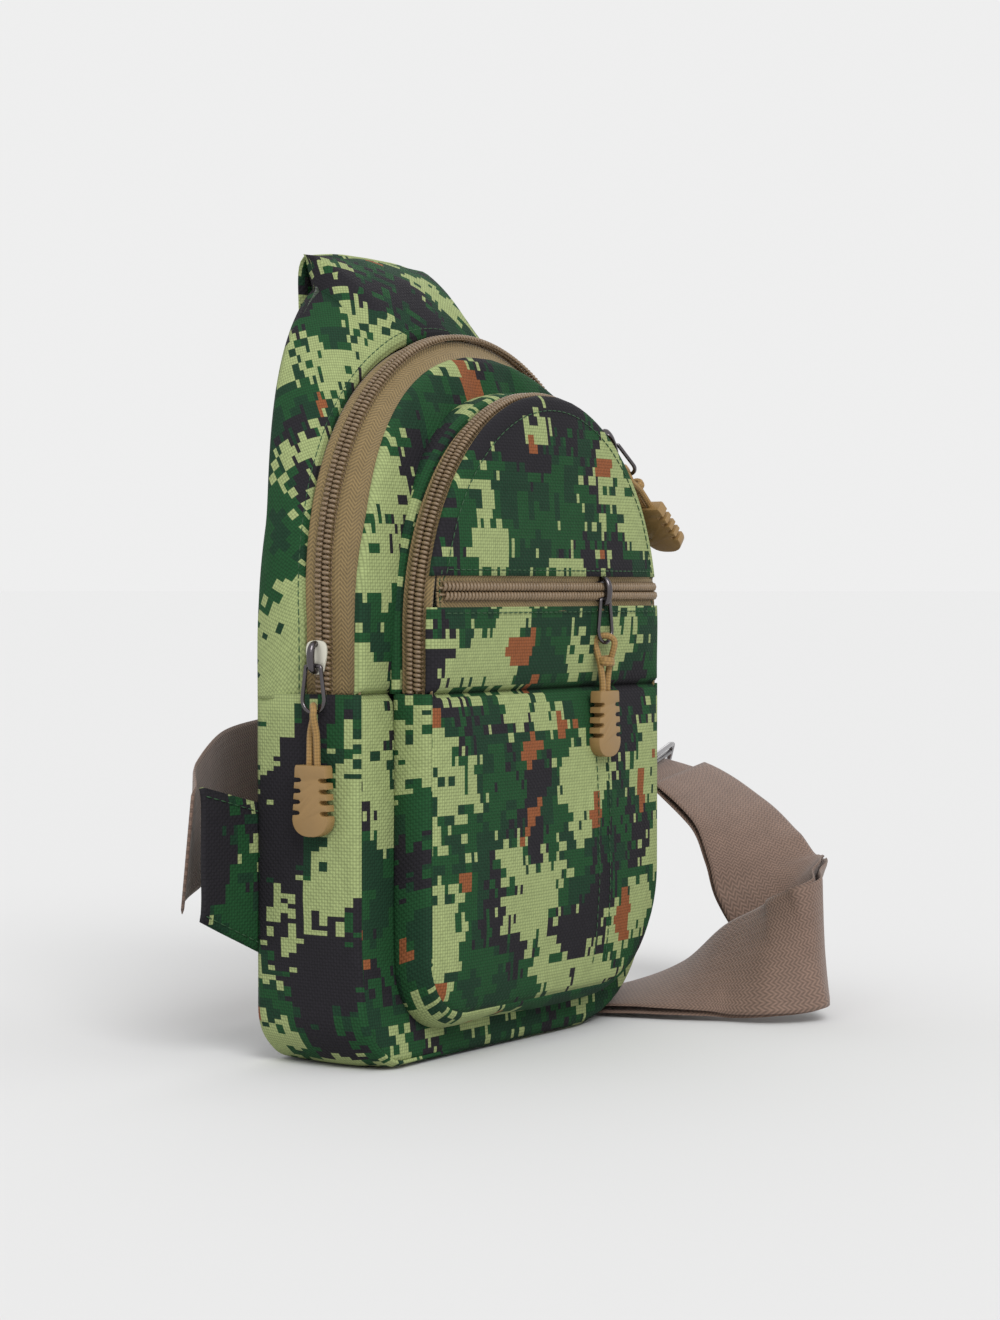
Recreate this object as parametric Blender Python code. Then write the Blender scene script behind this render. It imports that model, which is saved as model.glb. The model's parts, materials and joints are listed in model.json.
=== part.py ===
"""Sling bag: a teardrop main compartment with a front pocket, three zips and a webbing strap.

The origin is the centre of the flat base. +Z is up, +Y is towards the wearer's back and -Y is the
bag's front, so +X is the right side as seen from the front. Sizes are in metres.
"""

import math

import bmesh
import bpy
from mathutils import Matrix, Vector

# Clearances
GAP = 0.0003  # between pieces that touch
SLIP = 0.0006  # between a slider and the coils it runs on

# Main compartment
HALF_WIDTH = 0.100
BACK_Y = 0.024  # the back panel's outer face
FRONT_Y = -0.024  # the front panel's outer face
SEAM_Z = 0.137  # the level where the zips end and the flaps start to fold
BASE_CORNERS = ((0.020, 0.020), (0.065, 0.045))  # the filled base slumps to the left
BACK_TOP = 0.290
ZIP_TOP = 0.274
FRONT_TOP = 0.266
BACK_SPRING = 0.150  # where the sides stop being straight
ZIP_SPRING = 0.165
LEAN_START = 0.200  # above this the back leans towards the wearer
BACK_LEAN = 0.020
ZIP_LEAN = 0.008
FRONT_LEAN = 0.014
PANEL = 0.0025  # thickness of a fabric panel with its lining
FOAM = 0.005

# Main zip
TAPE = 0.0010
COIL_WIDTH = 0.0034  # one half of the coil, across the zip
COIL_HIGH = 0.0022
MAIN_ZIP_Y = -0.0075
MAIN_TAPE_REAR = 0.0085
TAPE_DROP = 0.0015  # how far the tape lies under the panels' outer faces

# Front pocket
POCKET_HALF = 0.081
POCKET_BOTTOM = 0.0115
POCKET_TOP = 0.2500
POCKET_SPRING = 0.160
POCKET_CORNERS = ((0.024, 0.024), (0.045, 0.045))
POCKET_FACE_Y = -0.042  # the pocket's outer face
POCKET_ZIP_Y = -0.0345
POCKET_TAPE_REAR = 0.0060

# Slip zip across the pocket's face
SLIP_ZIP_Z = 0.1745
SLIP_ZIP_HALF = POCKET_HALF - 0.005
SLIP_TAPE_HIGH = 0.0068  # each tape, from the zip's middle line
SLIP_COIL_HIGH = 0.0028
SLIP_BAG_DEPTH = 0.0012
SLIP_BAG_DROP = 0.030
SLIP_BAG_SIDE = 0.003

# Fold line of both flaps
FOLD_CLEAR = 0.0006
FOLD_Y = POCKET_FACE_Y - FOLD_CLEAR

# Sliders and pulls
SLIDER_LONG = 0.0125
SLIDER_WIDE = 0.0095
SLIDER_THICK = 0.0026
BRIDGE_LONG = 0.0115
BRIDGE_WIDE = 0.0032
BRIDGE_HIGH = 0.0036
BRIDGE_BAR = 0.0012
BRIDGE_LEG = 0.0016
MAIN_SLIDER_Z = 0.1505
POCKET_SLIDER_TURN = 52.0  # degrees up the right side of the pocket's arch
SLIP_SLIDER_X = 0.0300
WIRE = 0.0007  # radius of the wire ring
RING_LONG = 0.0170
RING_WIDE = 0.0100
RING_CLEAR = 0.0006  # so that the cord turns round the ring's curved foot
RING_TOP = 0.0066
RING_STEPS = 8
CORD = 0.0013  # radius of the pull cord
CORD_SPREAD = 0.0022
CORD_CLOSE = 0.0019
CORD_DROP = 0.0190  # from the ring's foot to the tag
TAG_LONG = 0.0260
TAG_WIDE = 0.0160
TAG_THICK = 0.0050
TAG_STEPS = 8

# Shoulder pad. The route is (y, z) along its middle.
PAD_TOP_HALF = 0.038
PAD_END_HALF = 0.030
PAD_THIN = 0.0028  # half of the thickness at the fold
PAD_THICK = 0.0045  # half of the thickness where it hangs
PAD_ROUTE = [
    (0.0440, 0.2910),
    (0.0445, 0.2980),
    (0.0462, 0.3035),
    (0.0488, 0.3058),
    (0.0514, 0.3035),
    (0.0528, 0.2980),
    (0.0530, 0.2860),
    (0.0525, 0.2600),
    (0.0510, 0.2300),
    (0.0490, 0.2000),
    (0.0465, 0.1700),
    (0.0445, 0.1450),
    (0.0435, 0.1300),
]
TAB_LONG = 0.0160
RING_BAR = 0.0016
STRAP_RING_HIGH = 0.0090

# Webbing. Each station is the middle of the strap and the direction of its width.
WEBBING = 0.050
WEBBING_THICK = 0.0012
LAYERS = 0.0030  # between the middles of the two layers
GLIDE_STATION = 6
GLIDE_WIRE = 0.0012
GLIDE_BAR = 0.0012
GLIDE_SIDE = 0.0008
GLIDE_HIGH = 0.0100
GLIDE_CLEAR = 0.0012
STRAP_STEPS = 4
RIBBON_ACROSS = (-1, -0.6, -0.2, 0.2, 0.6, 1)
WING_LOW = 0.040
WING_HIGH = 0.096
WING_LAP = 0.004  # how far the wing covers the strap's end
WING_FRONT = 0.0105  # how far in front of the strap's end it lies
STRAP_ROUTE = [
    ((-0.120, 0.040, 0.078), (0.20, 0.00, 0.98)),
    ((-0.100, 0.052, 0.086), (0.10, 0.00, 0.99)),
    ((-0.060, 0.066, 0.096), (0.05, 0.10, 0.99)),
    ((0.000, 0.074, 0.101), (0.10, 0.30, 0.95)),
    ((0.060, 0.074, 0.103), (0.30, 0.55, 0.78)),
    ((0.116, 0.058, 0.103), (0.66, 0.62, 0.42)),
    ((0.152, 0.020, 0.099), (0.92, 0.36, 0.16)),
    ((0.161, -0.004, 0.092), (0.99, 0.06, 0.12)),
    ((0.159, -0.030, 0.077), (0.98, -0.08, 0.18)),
    ((0.156, -0.044, 0.063), (0.91, -0.20, 0.36)),
    ((0.153, -0.053, 0.0515), (0.78, -0.30, 0.55)),
    ((0.150, -0.063, 0.0435), (0.52, -0.32, 0.79)),
    ((0.143, -0.076, 0.0385), (0.20, -0.20, 0.96)),
    ((0.134, -0.087, 0.035), (-0.02, 0.00, 1.00)),
    ((0.121, -0.0965, 0.032), (0.04, 0.08, 1.00)),
    ((0.108, -0.0965, 0.029), (0.16, 0.14, 0.98)),
    ((0.100, -0.083, 0.0255), (0.40, 0.16, 0.90)),
    ((0.101, -0.062, 0.0205), (0.70, 0.18, 0.69)),
    ((0.098, -0.037, 0.0115), (0.94, 0.18, 0.28)),
    ((0.093, -0.008, 0.0055), (1.00, 0.08, 0.04)),
    ((0.090, 0.020, 0.0052), (1.00, 0.00, 0.00)),
    ((0.085, 0.044, 0.0125), (0.97, 0.03, 0.20)),
    ((0.072, 0.060, 0.026), (0.88, 0.03, 0.46)),
    ((0.044, 0.063, 0.048), (0.84, 0.00, 0.54)),
    ((0.017, 0.056, 0.067), (0.92, 0.00, 0.38)),
    ((0.002, 0.045, 0.086), (1.00, 0.00, 0.10)),
    ((0.000, 0.043, 0.097), (1.00, 0.00, 0.00)),
]

FLAP_PIECES = [
    "front_panel_upper",
    "main_zip_tape_front",
    "main_zip_coil_front",
    "pocket_gusset_upper",
    "pocket_zip_tape_rear",
    "pocket_zip_coil_rear",
    "pocket_zip_tape_front",
    "pocket_zip_coil_front",
    "pocket_face_middle",
    "pocket_face_top",
    "slip_zip_tape_upper",
    "slip_zip_tape_lower",
    "slip_zip_coil_upper",
    "slip_zip_coil_lower",
    "slip_pocket_lining",
]

ARC_STEPS = 21  # odd, so that an arch ends in a short flat top
CORNER_STEPS = 5
LEG_STEPS = 2

CAMO = (0.10, 0.16, 0.07)
TAPE_TAN = (0.30, 0.22, 0.12)
COIL_BROWN = (0.16, 0.11, 0.07)
CORD_TAN = (0.48, 0.30, 0.12)
TAG_TAN = (0.50, 0.35, 0.17)
WEBBING_BROWN = (0.22, 0.14, 0.11)
SILVER = (0.75, 0.73, 0.68)
GUNMETAL = (0.12, 0.12, 0.13)
FOAM_GREY = (0.20, 0.20, 0.20)
LINING_GREY = (0.25, 0.25, 0.22)
BACK_GREEN = (0.05, 0.07, 0.04)


def clear_scene():
    for found in list(bpy.data.objects):
        bpy.data.objects.remove(found, do_unlink=True)


def material(name, colour, roughness=0.9, metallic=0.0):
    found = bpy.data.materials.get(name)
    if found:
        return found
    made = bpy.data.materials.new(name)
    made.use_nodes = True
    shader = made.node_tree.nodes["Principled BSDF"]
    shader.inputs["Base Color"].default_value = (*colour, 1.0)
    shader.inputs["Roughness"].default_value = roughness
    shader.inputs["Metallic"].default_value = metallic
    return made


def add_mesh(name, points, faces, finish, origin=(0, 0, 0), smooth=False):
    """An object whose origin is at origin, from points given in world space."""
    start = Vector(origin)
    mesh = bpy.data.meshes.new(name)
    mesh.from_pydata([Vector(p) - start for p in points], [], faces)
    shape = bmesh.new()
    shape.from_mesh(mesh)
    bmesh.ops.recalc_face_normals(shape, faces=shape.faces)
    shape.to_mesh(mesh)
    shape.free()
    if smooth:
        mesh.shade_smooth()
    mesh.materials.append(finish)
    made = bpy.data.objects.new(name, mesh)
    made.location = start
    bpy.context.collection.objects.link(made)
    return made


def grid_solid(name, outer, inner, finish, origin=(0, 0, 0)):
    """The closed solid between two sheets of points, each a list of rows of equal length."""
    rows, columns = len(outer), len(outer[0])
    points = [p for row in outer for p in row] + [p for row in inner for p in row]
    across = rows * columns

    def at(row, column, side):
        return side * across + row * columns + column

    faces = []
    for r in range(rows - 1):
        for c in range(columns - 1):
            corners = [(r, c), (r, c + 1), (r + 1, c + 1), (r + 1, c)]
            faces.append([at(*corner, 0) for corner in corners])
            faces.append([at(*corner, 1) for corner in reversed(corners)])
        for c in (0, columns - 1):
            faces.append([at(r, c, 0), at(r + 1, c, 0), at(r + 1, c, 1), at(r, c, 1)])
    for r in (0, rows - 1):
        for c in range(columns - 1):
            faces.append([at(r, c, 0), at(r, c + 1, 0), at(r, c + 1, 1), at(r, c, 1)])
    return add_mesh(name, points, faces, finish, origin)


class Arch:
    """An outline in the XZ plane: a flat base with round corners, straight sides, an elliptical top.

    Each corner is a quarter of an ellipse, (width, height), left then right.
    """

    def __init__(self, half, spring, top, bottom, corners):
        self.half = half
        self.spring = spring
        self.top = top
        self.bottom = bottom
        self.corners = corners

    def over(self, start, inset=0.0):
        """Points from the left side at height start, over the top, to the right side."""
        half = self.half - inset
        rise = self.top - inset - self.spring
        leg = [start + (self.spring - start) * i / LEG_STEPS for i in range(LEG_STEPS)]
        arc = [math.pi * (1 - i / ARC_STEPS) for i in range(ARC_STEPS + 1)]
        points = [(-half, z) for z in leg]
        points += [(half * math.cos(a), self.spring + rise * math.sin(a)) for a in arc]
        points += [(half, z) for z in reversed(leg)]
        return points

    def under(self, start, inset=0.0):
        """Points from the left side at height start, under the base, to the right side."""
        half = self.half - inset
        bottom = self.bottom + inset
        sides = []
        for sign, (wide, high) in zip((-1, 1), self.corners):
            side = [(sign * half, start)]
            for i in range(CORNER_STEPS + 1):
                turn = math.pi / 2 * i / CORNER_STEPS
                x = half - (wide - inset) * (1 - math.cos(turn))
                side.append((sign * x, bottom + (high - inset) * (1 - math.sin(turn))))
            sides.append(side)
        return sides[0] + sides[1][::-1]

    def levels(self, low, high, inset=0.0):
        """(height, left x, right x) of the outline between two heights, at its own corners."""
        under = self.under(self.spring, inset)
        over = self.over(self.spring, inset)[LEG_STEPS + 1 : -LEG_STEPS - 1]
        turn = len(under) // 2
        arch = ARC_STEPS // 2
        left = under[:turn][::-1] + over[:arch]
        right = under[turn:] + over[::-1][:arch]

        def x_at(side, level):
            for (x0, z0), (x1, z1) in zip(side, side[1:]):
                if z0 <= level <= z1:
                    return x0 + (x1 - x0) * (level - z0) / max(z1 - z0, 1e-9)
            return side[-1][0]

        low = max(low, left[0][1])
        high = min(high, left[-1][1])
        heights = sorted({round(z, 6) for _, z in left + right if low + GAP < z < high - GAP})
        return [(z, x_at(left, z), x_at(right, z)) for z in [low, *heights, high]]


BACK = Arch(HALF_WIDTH, BACK_SPRING, BACK_TOP, 0.0, BASE_CORNERS)
MIDDLE = Arch(HALF_WIDTH, ZIP_SPRING, ZIP_TOP, 0.0, BASE_CORNERS)
FRONT = Arch(HALF_WIDTH, ZIP_SPRING, FRONT_TOP, 0.0, BASE_CORNERS)
POCKET = Arch(POCKET_HALF, POCKET_SPRING, POCKET_TOP, POCKET_BOTTOM, POCKET_CORNERS)


def rise(z, start, end, power):
    return min(max((z - start) / (end - start), 0.0), 1.0) ** power


def back_y(z):
    return BACK_Y + BACK_LEAN * rise(z, LEAN_START, BACK_TOP, 1.3)


def zip_y(z):
    return MAIN_ZIP_Y + ZIP_LEAN * rise(z, ZIP_SPRING, ZIP_TOP, 1.0)


def front_y(z):
    return FRONT_Y + FRONT_LEAN * rise(z, LEAN_START, FRONT_TOP, 1.3)


def shell(name, stations, finish, thickness, inset=0.0, lower=False, start=SEAM_Z):
    """A strip that follows the outline. stations are (outline, y as a function of height)."""
    outer, inner = [], []
    for outline, depth in stations:
        follow = outline.under if lower else outline.over
        outer.append([(x, depth(z), z) for x, z in follow(start, inset)])
        inner.append([(x, depth(z), z) for x, z in follow(start, inset + thickness)])
    return grid_solid(name, list(zip(*outer)), list(zip(*inner)), finish)


def plate(name, outline, low, high, front, rear, finish, inset=0.0):
    """A panel that fills the outline between two heights, between two depths."""
    levels = outline.levels(low, high, inset)
    faces = []
    for depth in (front, rear):
        faces.append([[(x0, depth(z), z), (x1, depth(z), z)] for z, x0, x1 in levels])
    return grid_solid(name, *faces, finish)


def shifted(depth, by):
    return lambda z: depth(z) + by


def level(y):
    return lambda z: y


def make_body(camo, foam, mesh):
    """The main compartment's panels and gussets."""
    inside = shifted(back_y, -PANEL)
    plate("back_panel", BACK, 0.0, BACK_TOP, inside, back_y, mesh)
    clear = PANEL + 3 * GAP
    foam_back = shifted(back_y, -PANEL - GAP)
    foam_front = shifted(back_y, -PANEL - GAP - FOAM)
    plate("back_foam", BACK, 0.0, LEAN_START, foam_front, foam_back, foam, inset=clear)
    rear_rim = shifted(back_y, -PANEL - GAP)
    tape_edge = shifted(zip_y, MAIN_TAPE_REAR)
    halfway = shifted(zip_y, (MAIN_TAPE_REAR + BACK_Y - MAIN_ZIP_Y) / 2)
    stations = [(BACK, rear_rim), (MIDDLE, halfway), (MIDDLE, tape_edge)]
    shell("upper_gusset", stations, camo, PANEL, start=SEAM_Z + GAP)
    front_rim = level(FRONT_Y + PANEL + GAP)
    stations = [(BACK, rear_rim), (FRONT, front_rim)]
    shell("lower_gusset", stations, camo, PANEL, lower=True, start=SEAM_Z)
    low = (0.0, SEAM_Z, level(FRONT_Y), level(FRONT_Y + PANEL))
    plate("front_panel_lower", FRONT, *low, camo)
    high = (SEAM_Z + GAP, FRONT_TOP, front_y, shifted(front_y, PANEL))
    plate("front_panel_upper", FRONT, *high, camo)


def make_main_zip(tape, coil):
    """Two tapes that meet at the zip's middle line, with half of the coil on each."""
    half_gap = GAP / 2
    rear_tape = [
        (MIDDLE, shifted(zip_y, MAIN_TAPE_REAR - GAP)),
        (MIDDLE, shifted(zip_y, half_gap)),
    ]
    front_tape = [
        (MIDDLE, shifted(zip_y, -half_gap)),
        (FRONT, shifted(front_y, PANEL + GAP)),
    ]
    start = SEAM_Z + GAP
    shell("main_zip_tape_rear", rear_tape, tape, TAPE, inset=TAPE_DROP, start=start)
    shell("main_zip_tape_front", front_tape, tape, TAPE, inset=TAPE_DROP, start=start)
    for side, name in ((1, "main_zip_coil_rear"), (-1, "main_zip_coil_front")):
        near = shifted(zip_y, side * half_gap)
        far = shifted(zip_y, side * COIL_WIDTH)
        outside = TAPE_DROP - GAP - COIL_HIGH
        shell(name, [(MIDDLE, far), (MIDDLE, near)], coil, COIL_HIGH, outside, start=start)


def band(y_near, y_far):
    """Two stations on the pocket's outline between these depths."""
    return [(POCKET, y_near), (POCKET, y_far)]


def make_pocket(camo, tape, coil):
    """The pocket's gusset and face, split at the seam level, and its zip."""
    rear_rim = shifted(front_y, -GAP)
    tape_edge = level(POCKET_ZIP_Y + POCKET_TAPE_REAR)
    face_rear = POCKET_FACE_Y + PANEL
    lower = band(rear_rim, level(face_rear + GAP))
    shell("pocket_gusset_lower", lower, camo, PANEL, lower=True, start=SEAM_Z)
    above = SEAM_Z + GAP
    shell("pocket_gusset_upper", band(rear_rim, tape_edge), camo, PANEL, start=above)
    half_gap = GAP / 2
    middle_rear = level(POCKET_ZIP_Y + half_gap)
    middle_front = level(POCKET_ZIP_Y - half_gap)
    rear = band(level(POCKET_ZIP_Y + POCKET_TAPE_REAR - GAP), middle_rear)
    front = band(middle_front, level(face_rear + GAP))
    shell("pocket_zip_tape_rear", rear, tape, TAPE, inset=TAPE_DROP, start=above)
    shell("pocket_zip_tape_front", front, tape, TAPE, inset=TAPE_DROP, start=above)
    outside = TAPE_DROP - GAP - COIL_HIGH
    for side, name in ((1, "pocket_zip_coil_rear"), (-1, "pocket_zip_coil_front")):
        near = level(POCKET_ZIP_Y + side * half_gap)
        far = level(POCKET_ZIP_Y + side * COIL_WIDTH)
        shell(name, band(far, near), coil, COIL_HIGH, outside, start=above)
    front_face, rear_face = level(POCKET_FACE_Y), level(face_rear)
    for name, low, high in (
        ("pocket_face_lower", POCKET_BOTTOM, SEAM_Z),
        ("pocket_face_middle", above, SLIP_ZIP_Z - SLIP_TAPE_HIGH - GAP),
        ("pocket_face_top", SLIP_ZIP_Z + SLIP_TAPE_HIGH + GAP, POCKET_TOP),
    ):
        plate(name, POCKET, low, high, front_face, rear_face, camo)


def box(name, low, high, finish, origin=(0, 0, 0)):
    """A block between two corners, with its origin where its joint is."""
    (x0, y0, z0), (x1, y1, z1) = low, high
    front = [[(x0, y0, z0), (x1, y0, z0)], [(x0, y0, z1), (x1, y0, z1)]]
    rear = [[(x0, y1, z0), (x1, y1, z0)], [(x0, y1, z1), (x1, y1, z1)]]
    return grid_solid(name, front, rear, finish, origin)


def make_slip_zip(tape, coil, lining):
    """The straight zip across the pocket's face, with the slip bag that hangs behind it."""
    tape_front = POCKET_FACE_Y + TAPE_DROP
    coil_front = tape_front - GAP - COIL_HIGH
    half = SLIP_ZIP_HALF
    bag_front = POCKET_FACE_Y + PANEL + GAP
    for side, name in ((1, "upper"), (-1, "lower")):
        near = SLIP_ZIP_Z + side * GAP / 2
        edge = SLIP_ZIP_Z + side * SLIP_TAPE_HIGH
        tooth = SLIP_ZIP_Z + side * SLIP_COIL_HIGH
        low, high = sorted((near, edge))
        box(f"slip_zip_tape_{name}", (-half, tape_front, low), (half, tape_front + TAPE, high), tape)
        low, high = sorted((near, tooth))
        box(f"slip_zip_coil_{name}", (-half, coil_front, low), (half, tape_front - GAP, high), coil)
    foot = SLIP_ZIP_Z - SLIP_BAG_DROP
    head = SLIP_ZIP_Z + SLIP_TAPE_HIGH
    bag_half = half - SLIP_BAG_SIDE
    corner = (bag_half, bag_front + SLIP_BAG_DEPTH, head)
    box("slip_pocket_lining", (-bag_half, bag_front, foot), corner, lining)


def tube(name, points, radius, finish, frame, closed=False, sides=2):
    """A round bar along points given in the frame of a joint."""
    curve = bpy.data.curves.new(name, "CURVE")
    curve.dimensions = "3D"
    curve.bevel_depth = radius
    curve.bevel_resolution = sides
    curve.use_fill_caps = not closed
    spline = curve.splines.new("POLY")
    spline.points.add(len(points) - 1)
    for target, point in zip(spline.points, points):
        target.co = (*point, 1.0)
    spline.use_cyclic_u = closed
    curve.materials.append(finish)
    made = bpy.data.objects.new(name, curve)
    made.matrix_world = frame
    bpy.context.collection.objects.link(made)
    return made


def prism(name, outline, low, high, finish, frame):
    """An outline of (x, z) points, made thick along y from low to high, in the frame of a joint."""
    count = len(outline)
    points = [(x, low, z) for x, z in outline] + [(x, high, z) for x, z in outline]
    faces = [list(range(count)), list(range(2 * count - 1, count - 1, -1))]
    for i in range(count):
        j = (i + 1) % count
        faces.append([i, i + count, j + count, j])
    made = add_mesh(name, points, faces, finish)
    made.matrix_world = frame
    return made


def make_bridge(name, face, finish, frame):
    """The arch that holds the wire ring on a slider's outer face."""
    top = face - BRIDGE_HIGH
    long = BRIDGE_LONG / 2
    outline = [(face, -long), (top, -long + BRIDGE_BAR), (top, long - BRIDGE_BAR), (face, long)]
    inner = long - BRIDGE_LEG
    under = top + BRIDGE_BAR
    outline += [(face, inner), (under, inner), (under, -inner), (face, -inner)]
    turned = frame @ Matrix.Rotation(math.pi / 2, 4, "Z")
    prism(name, outline, -BRIDGE_WIDE / 2, BRIDGE_WIDE / 2, finish, turned)


def ring_points():
    """A wire loop with a short straight top, wider towards its round foot."""
    top, wide = RING_TOP / 2, RING_WIDE / 2
    points = [(-top, 0, 0), (top, 0, 0)]
    centre = wide - RING_LONG
    for i in range(RING_STEPS + 1):
        turn = math.pi * i / RING_STEPS
        points.append((wide * math.cos(turn), 0, centre - wide * math.sin(turn)))
    return points


def cord_points():
    """From the tag, up through the ring, over its foot and back down to the tag."""
    away = WIRE + CORD + GAP + RING_CLEAR
    end = CORD_DROP - GAP
    half = [
        (CORD_CLOSE, 0.0, -end),
        (CORD_CLOSE, -away * 0.3, -end * 0.8),
        (CORD_SPREAD * 0.9, -away * 0.7, -end * 0.5),
        (CORD_SPREAD, -away, -away * 0.9),
        (CORD_SPREAD * 0.75, -away * 0.95, away * 0.35),
        (CORD_SPREAD * 0.35, -away * 0.5, away * 0.95),
    ]
    return half + [(0.0, 0.0, away * 1.1)] + [(-x, -y, z) for x, y, z in reversed(half)]


def tag_outline():
    """A tag with a narrow waist below its top and a round foot."""
    wide = TAG_WIDE / 2
    foot = wide - CORD_DROP - TAG_LONG
    right = [(wide * 0.88, -CORD_DROP), (wide * 0.94, -CORD_DROP - TAG_LONG * 0.35)]
    arc = []
    for i in range(TAG_STEPS + 1):
        turn = math.pi * i / TAG_STEPS
        arc.append((wide * math.cos(turn), foot - wide * math.sin(turn)))
    return right + arc + [(-x, z) for x, z in reversed(right)]


def make_pull(prefix, frame, finishes, along_zip=True):
    """A slider with its bridge, and a ring, cord and tag that hang from it.

    In its own frame -y points away from the bag, the ring hangs towards -z and the zip runs along
    z, or along x when along_zip is False. The frame's origin is on the coils' outer face.
    """
    silver, metal, cord, tag = finishes
    wide, long = SLIDER_WIDE / 2, SLIDER_LONG / 2
    right = [(wide * 0.7, -long), (wide, -long * 0.2), (wide, long * 0.7), (wide * 0.6, long)]
    outline = right + [(-x, z) for x, z in reversed(right)]
    run = frame if along_zip else frame @ Matrix.Rotation(math.pi / 2, 4, "Y")
    face = -SLIP - SLIDER_THICK
    prism(f"{prefix}_slider", outline, face, -SLIP, silver, run)
    make_bridge(f"{prefix}_bridge", face - GAP, metal, frame)
    seat = -BRIDGE_LONG / 2 + BRIDGE_LEG + WIRE + GAP
    eye = face - GAP - (BRIDGE_HIGH - BRIDGE_BAR) / 2
    pivot = frame @ Matrix.Translation((0, eye, seat))
    tube(f"{prefix}_ring", ring_points(), WIRE, metal, pivot, closed=True)
    foot = pivot @ Matrix.Translation((0, 0, -RING_LONG))
    tube(f"{prefix}_pull_cord", cord_points(), CORD, cord, foot)
    prism(f"{prefix}_pull_tag", tag_outline(), -TAG_THICK / 2, TAG_THICK / 2, tag, foot)


def outward_frame(seat, out, up=(0, 0, 1)):
    """A pull's frame: -y away from the bag, z up the zip."""
    across = Vector(up).cross(Vector(out))
    frame = Matrix((across, -Vector(out), Vector(up))).transposed().to_4x4()
    frame.translation = seat
    return frame


def make_pulls(finishes):
    """The main zip's slider on the left leg, the pocket's on its arch, the slip zip's on its face."""
    proud = COIL_HIGH + GAP - TAPE_DROP
    seat = (-HALF_WIDTH - proud, zip_y(MAIN_SLIDER_Z), MAIN_SLIDER_Z)
    make_pull("main", outward_frame(seat, (-1, 0, 0)), finishes)
    half = POCKET_HALF + proud
    high = POCKET_TOP - POCKET_SPRING + proud
    turn = math.radians(POCKET_SLIDER_TURN)
    tangent = Vector((-half * math.sin(turn), 0, high * math.cos(turn))).normalized()
    out = Vector((tangent.z, 0, -tangent.x))
    seat = Vector((half * math.cos(turn), POCKET_ZIP_Y, POCKET_SPRING + high * math.sin(turn)))
    make_pull("pocket", outward_frame(seat, out, tangent), finishes)
    seat = (SLIP_SLIDER_X, POCKET_FACE_Y - proud, SLIP_ZIP_Z)
    make_pull("slip", outward_frame(seat, (0, -1, 0)), finishes, along_zip=False)


def smooth_route(points, steps):
    """A Catmull-Rom curve through the points."""
    ends = [2 * points[0] - points[1], *points, 2 * points[-1] - points[-2]]
    route = []
    for a, b, c, d in zip(ends, ends[1:], ends[2:], ends[3:]):
        for i in range(steps):
            t = i / steps
            square, cube = t * t, t * t * t
            bend = (2 * a - 5 * b + 4 * c - d) * square + (3 * b - a - 3 * c + d) * cube
            route.append((2 * b + (c - a) * t + bend) / 2)
    return route + [points[-1]]


def strip_frames(route, across, lift=0.0):
    """[(point, width direction, normal)] along a strip, lifted off its own face."""
    frames = []
    for i, (point, wide) in enumerate(zip(route, across)):
        along = (route[min(i + 1, len(route) - 1)] - route[max(i - 1, 0)]).normalized()
        wide = (wide - wide.project(along)).normalized()
        normal = along.cross(wide)
        frames.append((point + normal * lift, wide, normal))
    return frames


def ribbon(name, frames, half, thick, finish):
    """A flat strip along frames. half and thick are its half width and half thickness at each."""
    front, rear = [], []
    for (point, wide, normal), widths, thicks in zip(frames, half, thick):
        for side, rows in ((thicks, front), (-thicks, rear)):
            middle = point + normal * side
            rows.append([middle + wide * widths * t for t in RIBBON_ACROSS])
    return grid_solid(name, front, rear, finish)


def make_shoulder_pad(camo, webbing, metal):
    """The pad that folds back over the top and hangs behind the bag, with its tab and ring."""
    route = smooth_route([Vector((0, y, z)) for y, z in PAD_ROUTE], 3)
    last = len(route) - 1
    ease = [i / last for i in range(last + 1)]
    half = [PAD_TOP_HALF + (PAD_END_HALF - PAD_TOP_HALF) * e for e in ease]
    thick = [PAD_THIN + (PAD_THICK - PAD_THIN) * min(2 * max(e - 0.3, 0), 1) for e in ease]
    frames = strip_frames(route, [Vector((1, 0, 0))] * len(route))
    ribbon("shoulder_pad", frames, half, thick, camo)
    y, end = PAD_ROUTE[-1]
    tab_foot = end - TAB_LONG
    half = WEBBING / 2
    low = (-half, y - WEBBING_THICK, tab_foot)
    box("pad_tab", low, (half, y + WEBBING_THICK, end - GAP), webbing)
    top = tab_foot - GAP - RING_BAR
    foot = top - STRAP_RING_HIGH
    wide = half + RING_BAR + GAP
    points = [(-wide, y, top), (wide, y, top), (wide, y, foot), (-wide, y, foot)]
    tube("strap_ring", points, RING_BAR, metal, Matrix.Identity(4), closed=True)


def strap_frames(lift=0.0, first=0):
    """The strap's frames from one station on."""
    route = smooth_route([Vector(point) for point, _ in STRAP_ROUTE], STRAP_STEPS)
    across = smooth_route([Vector(wide) for _, wide in STRAP_ROUTE], STRAP_STEPS)
    return strip_frames(route, across, lift)[first * STRAP_STEPS :]


def make_strap(webbing, metal, steel):
    """Two layers of webbing: out from the left wing round to the ring, and back to the tri-glide."""
    outer = strap_frames()
    inner = strap_frames(LAYERS, GLIDE_STATION + 1)
    for name, frames in (("strap_webbing_outer", outer), ("strap_webbing_inner", inner)):
        half = [WEBBING / 2] * len(frames)
        ribbon(name, frames, half, [WEBBING_THICK / 2] * len(frames), webbing)
    make_tri_glide(metal, steel)


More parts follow.
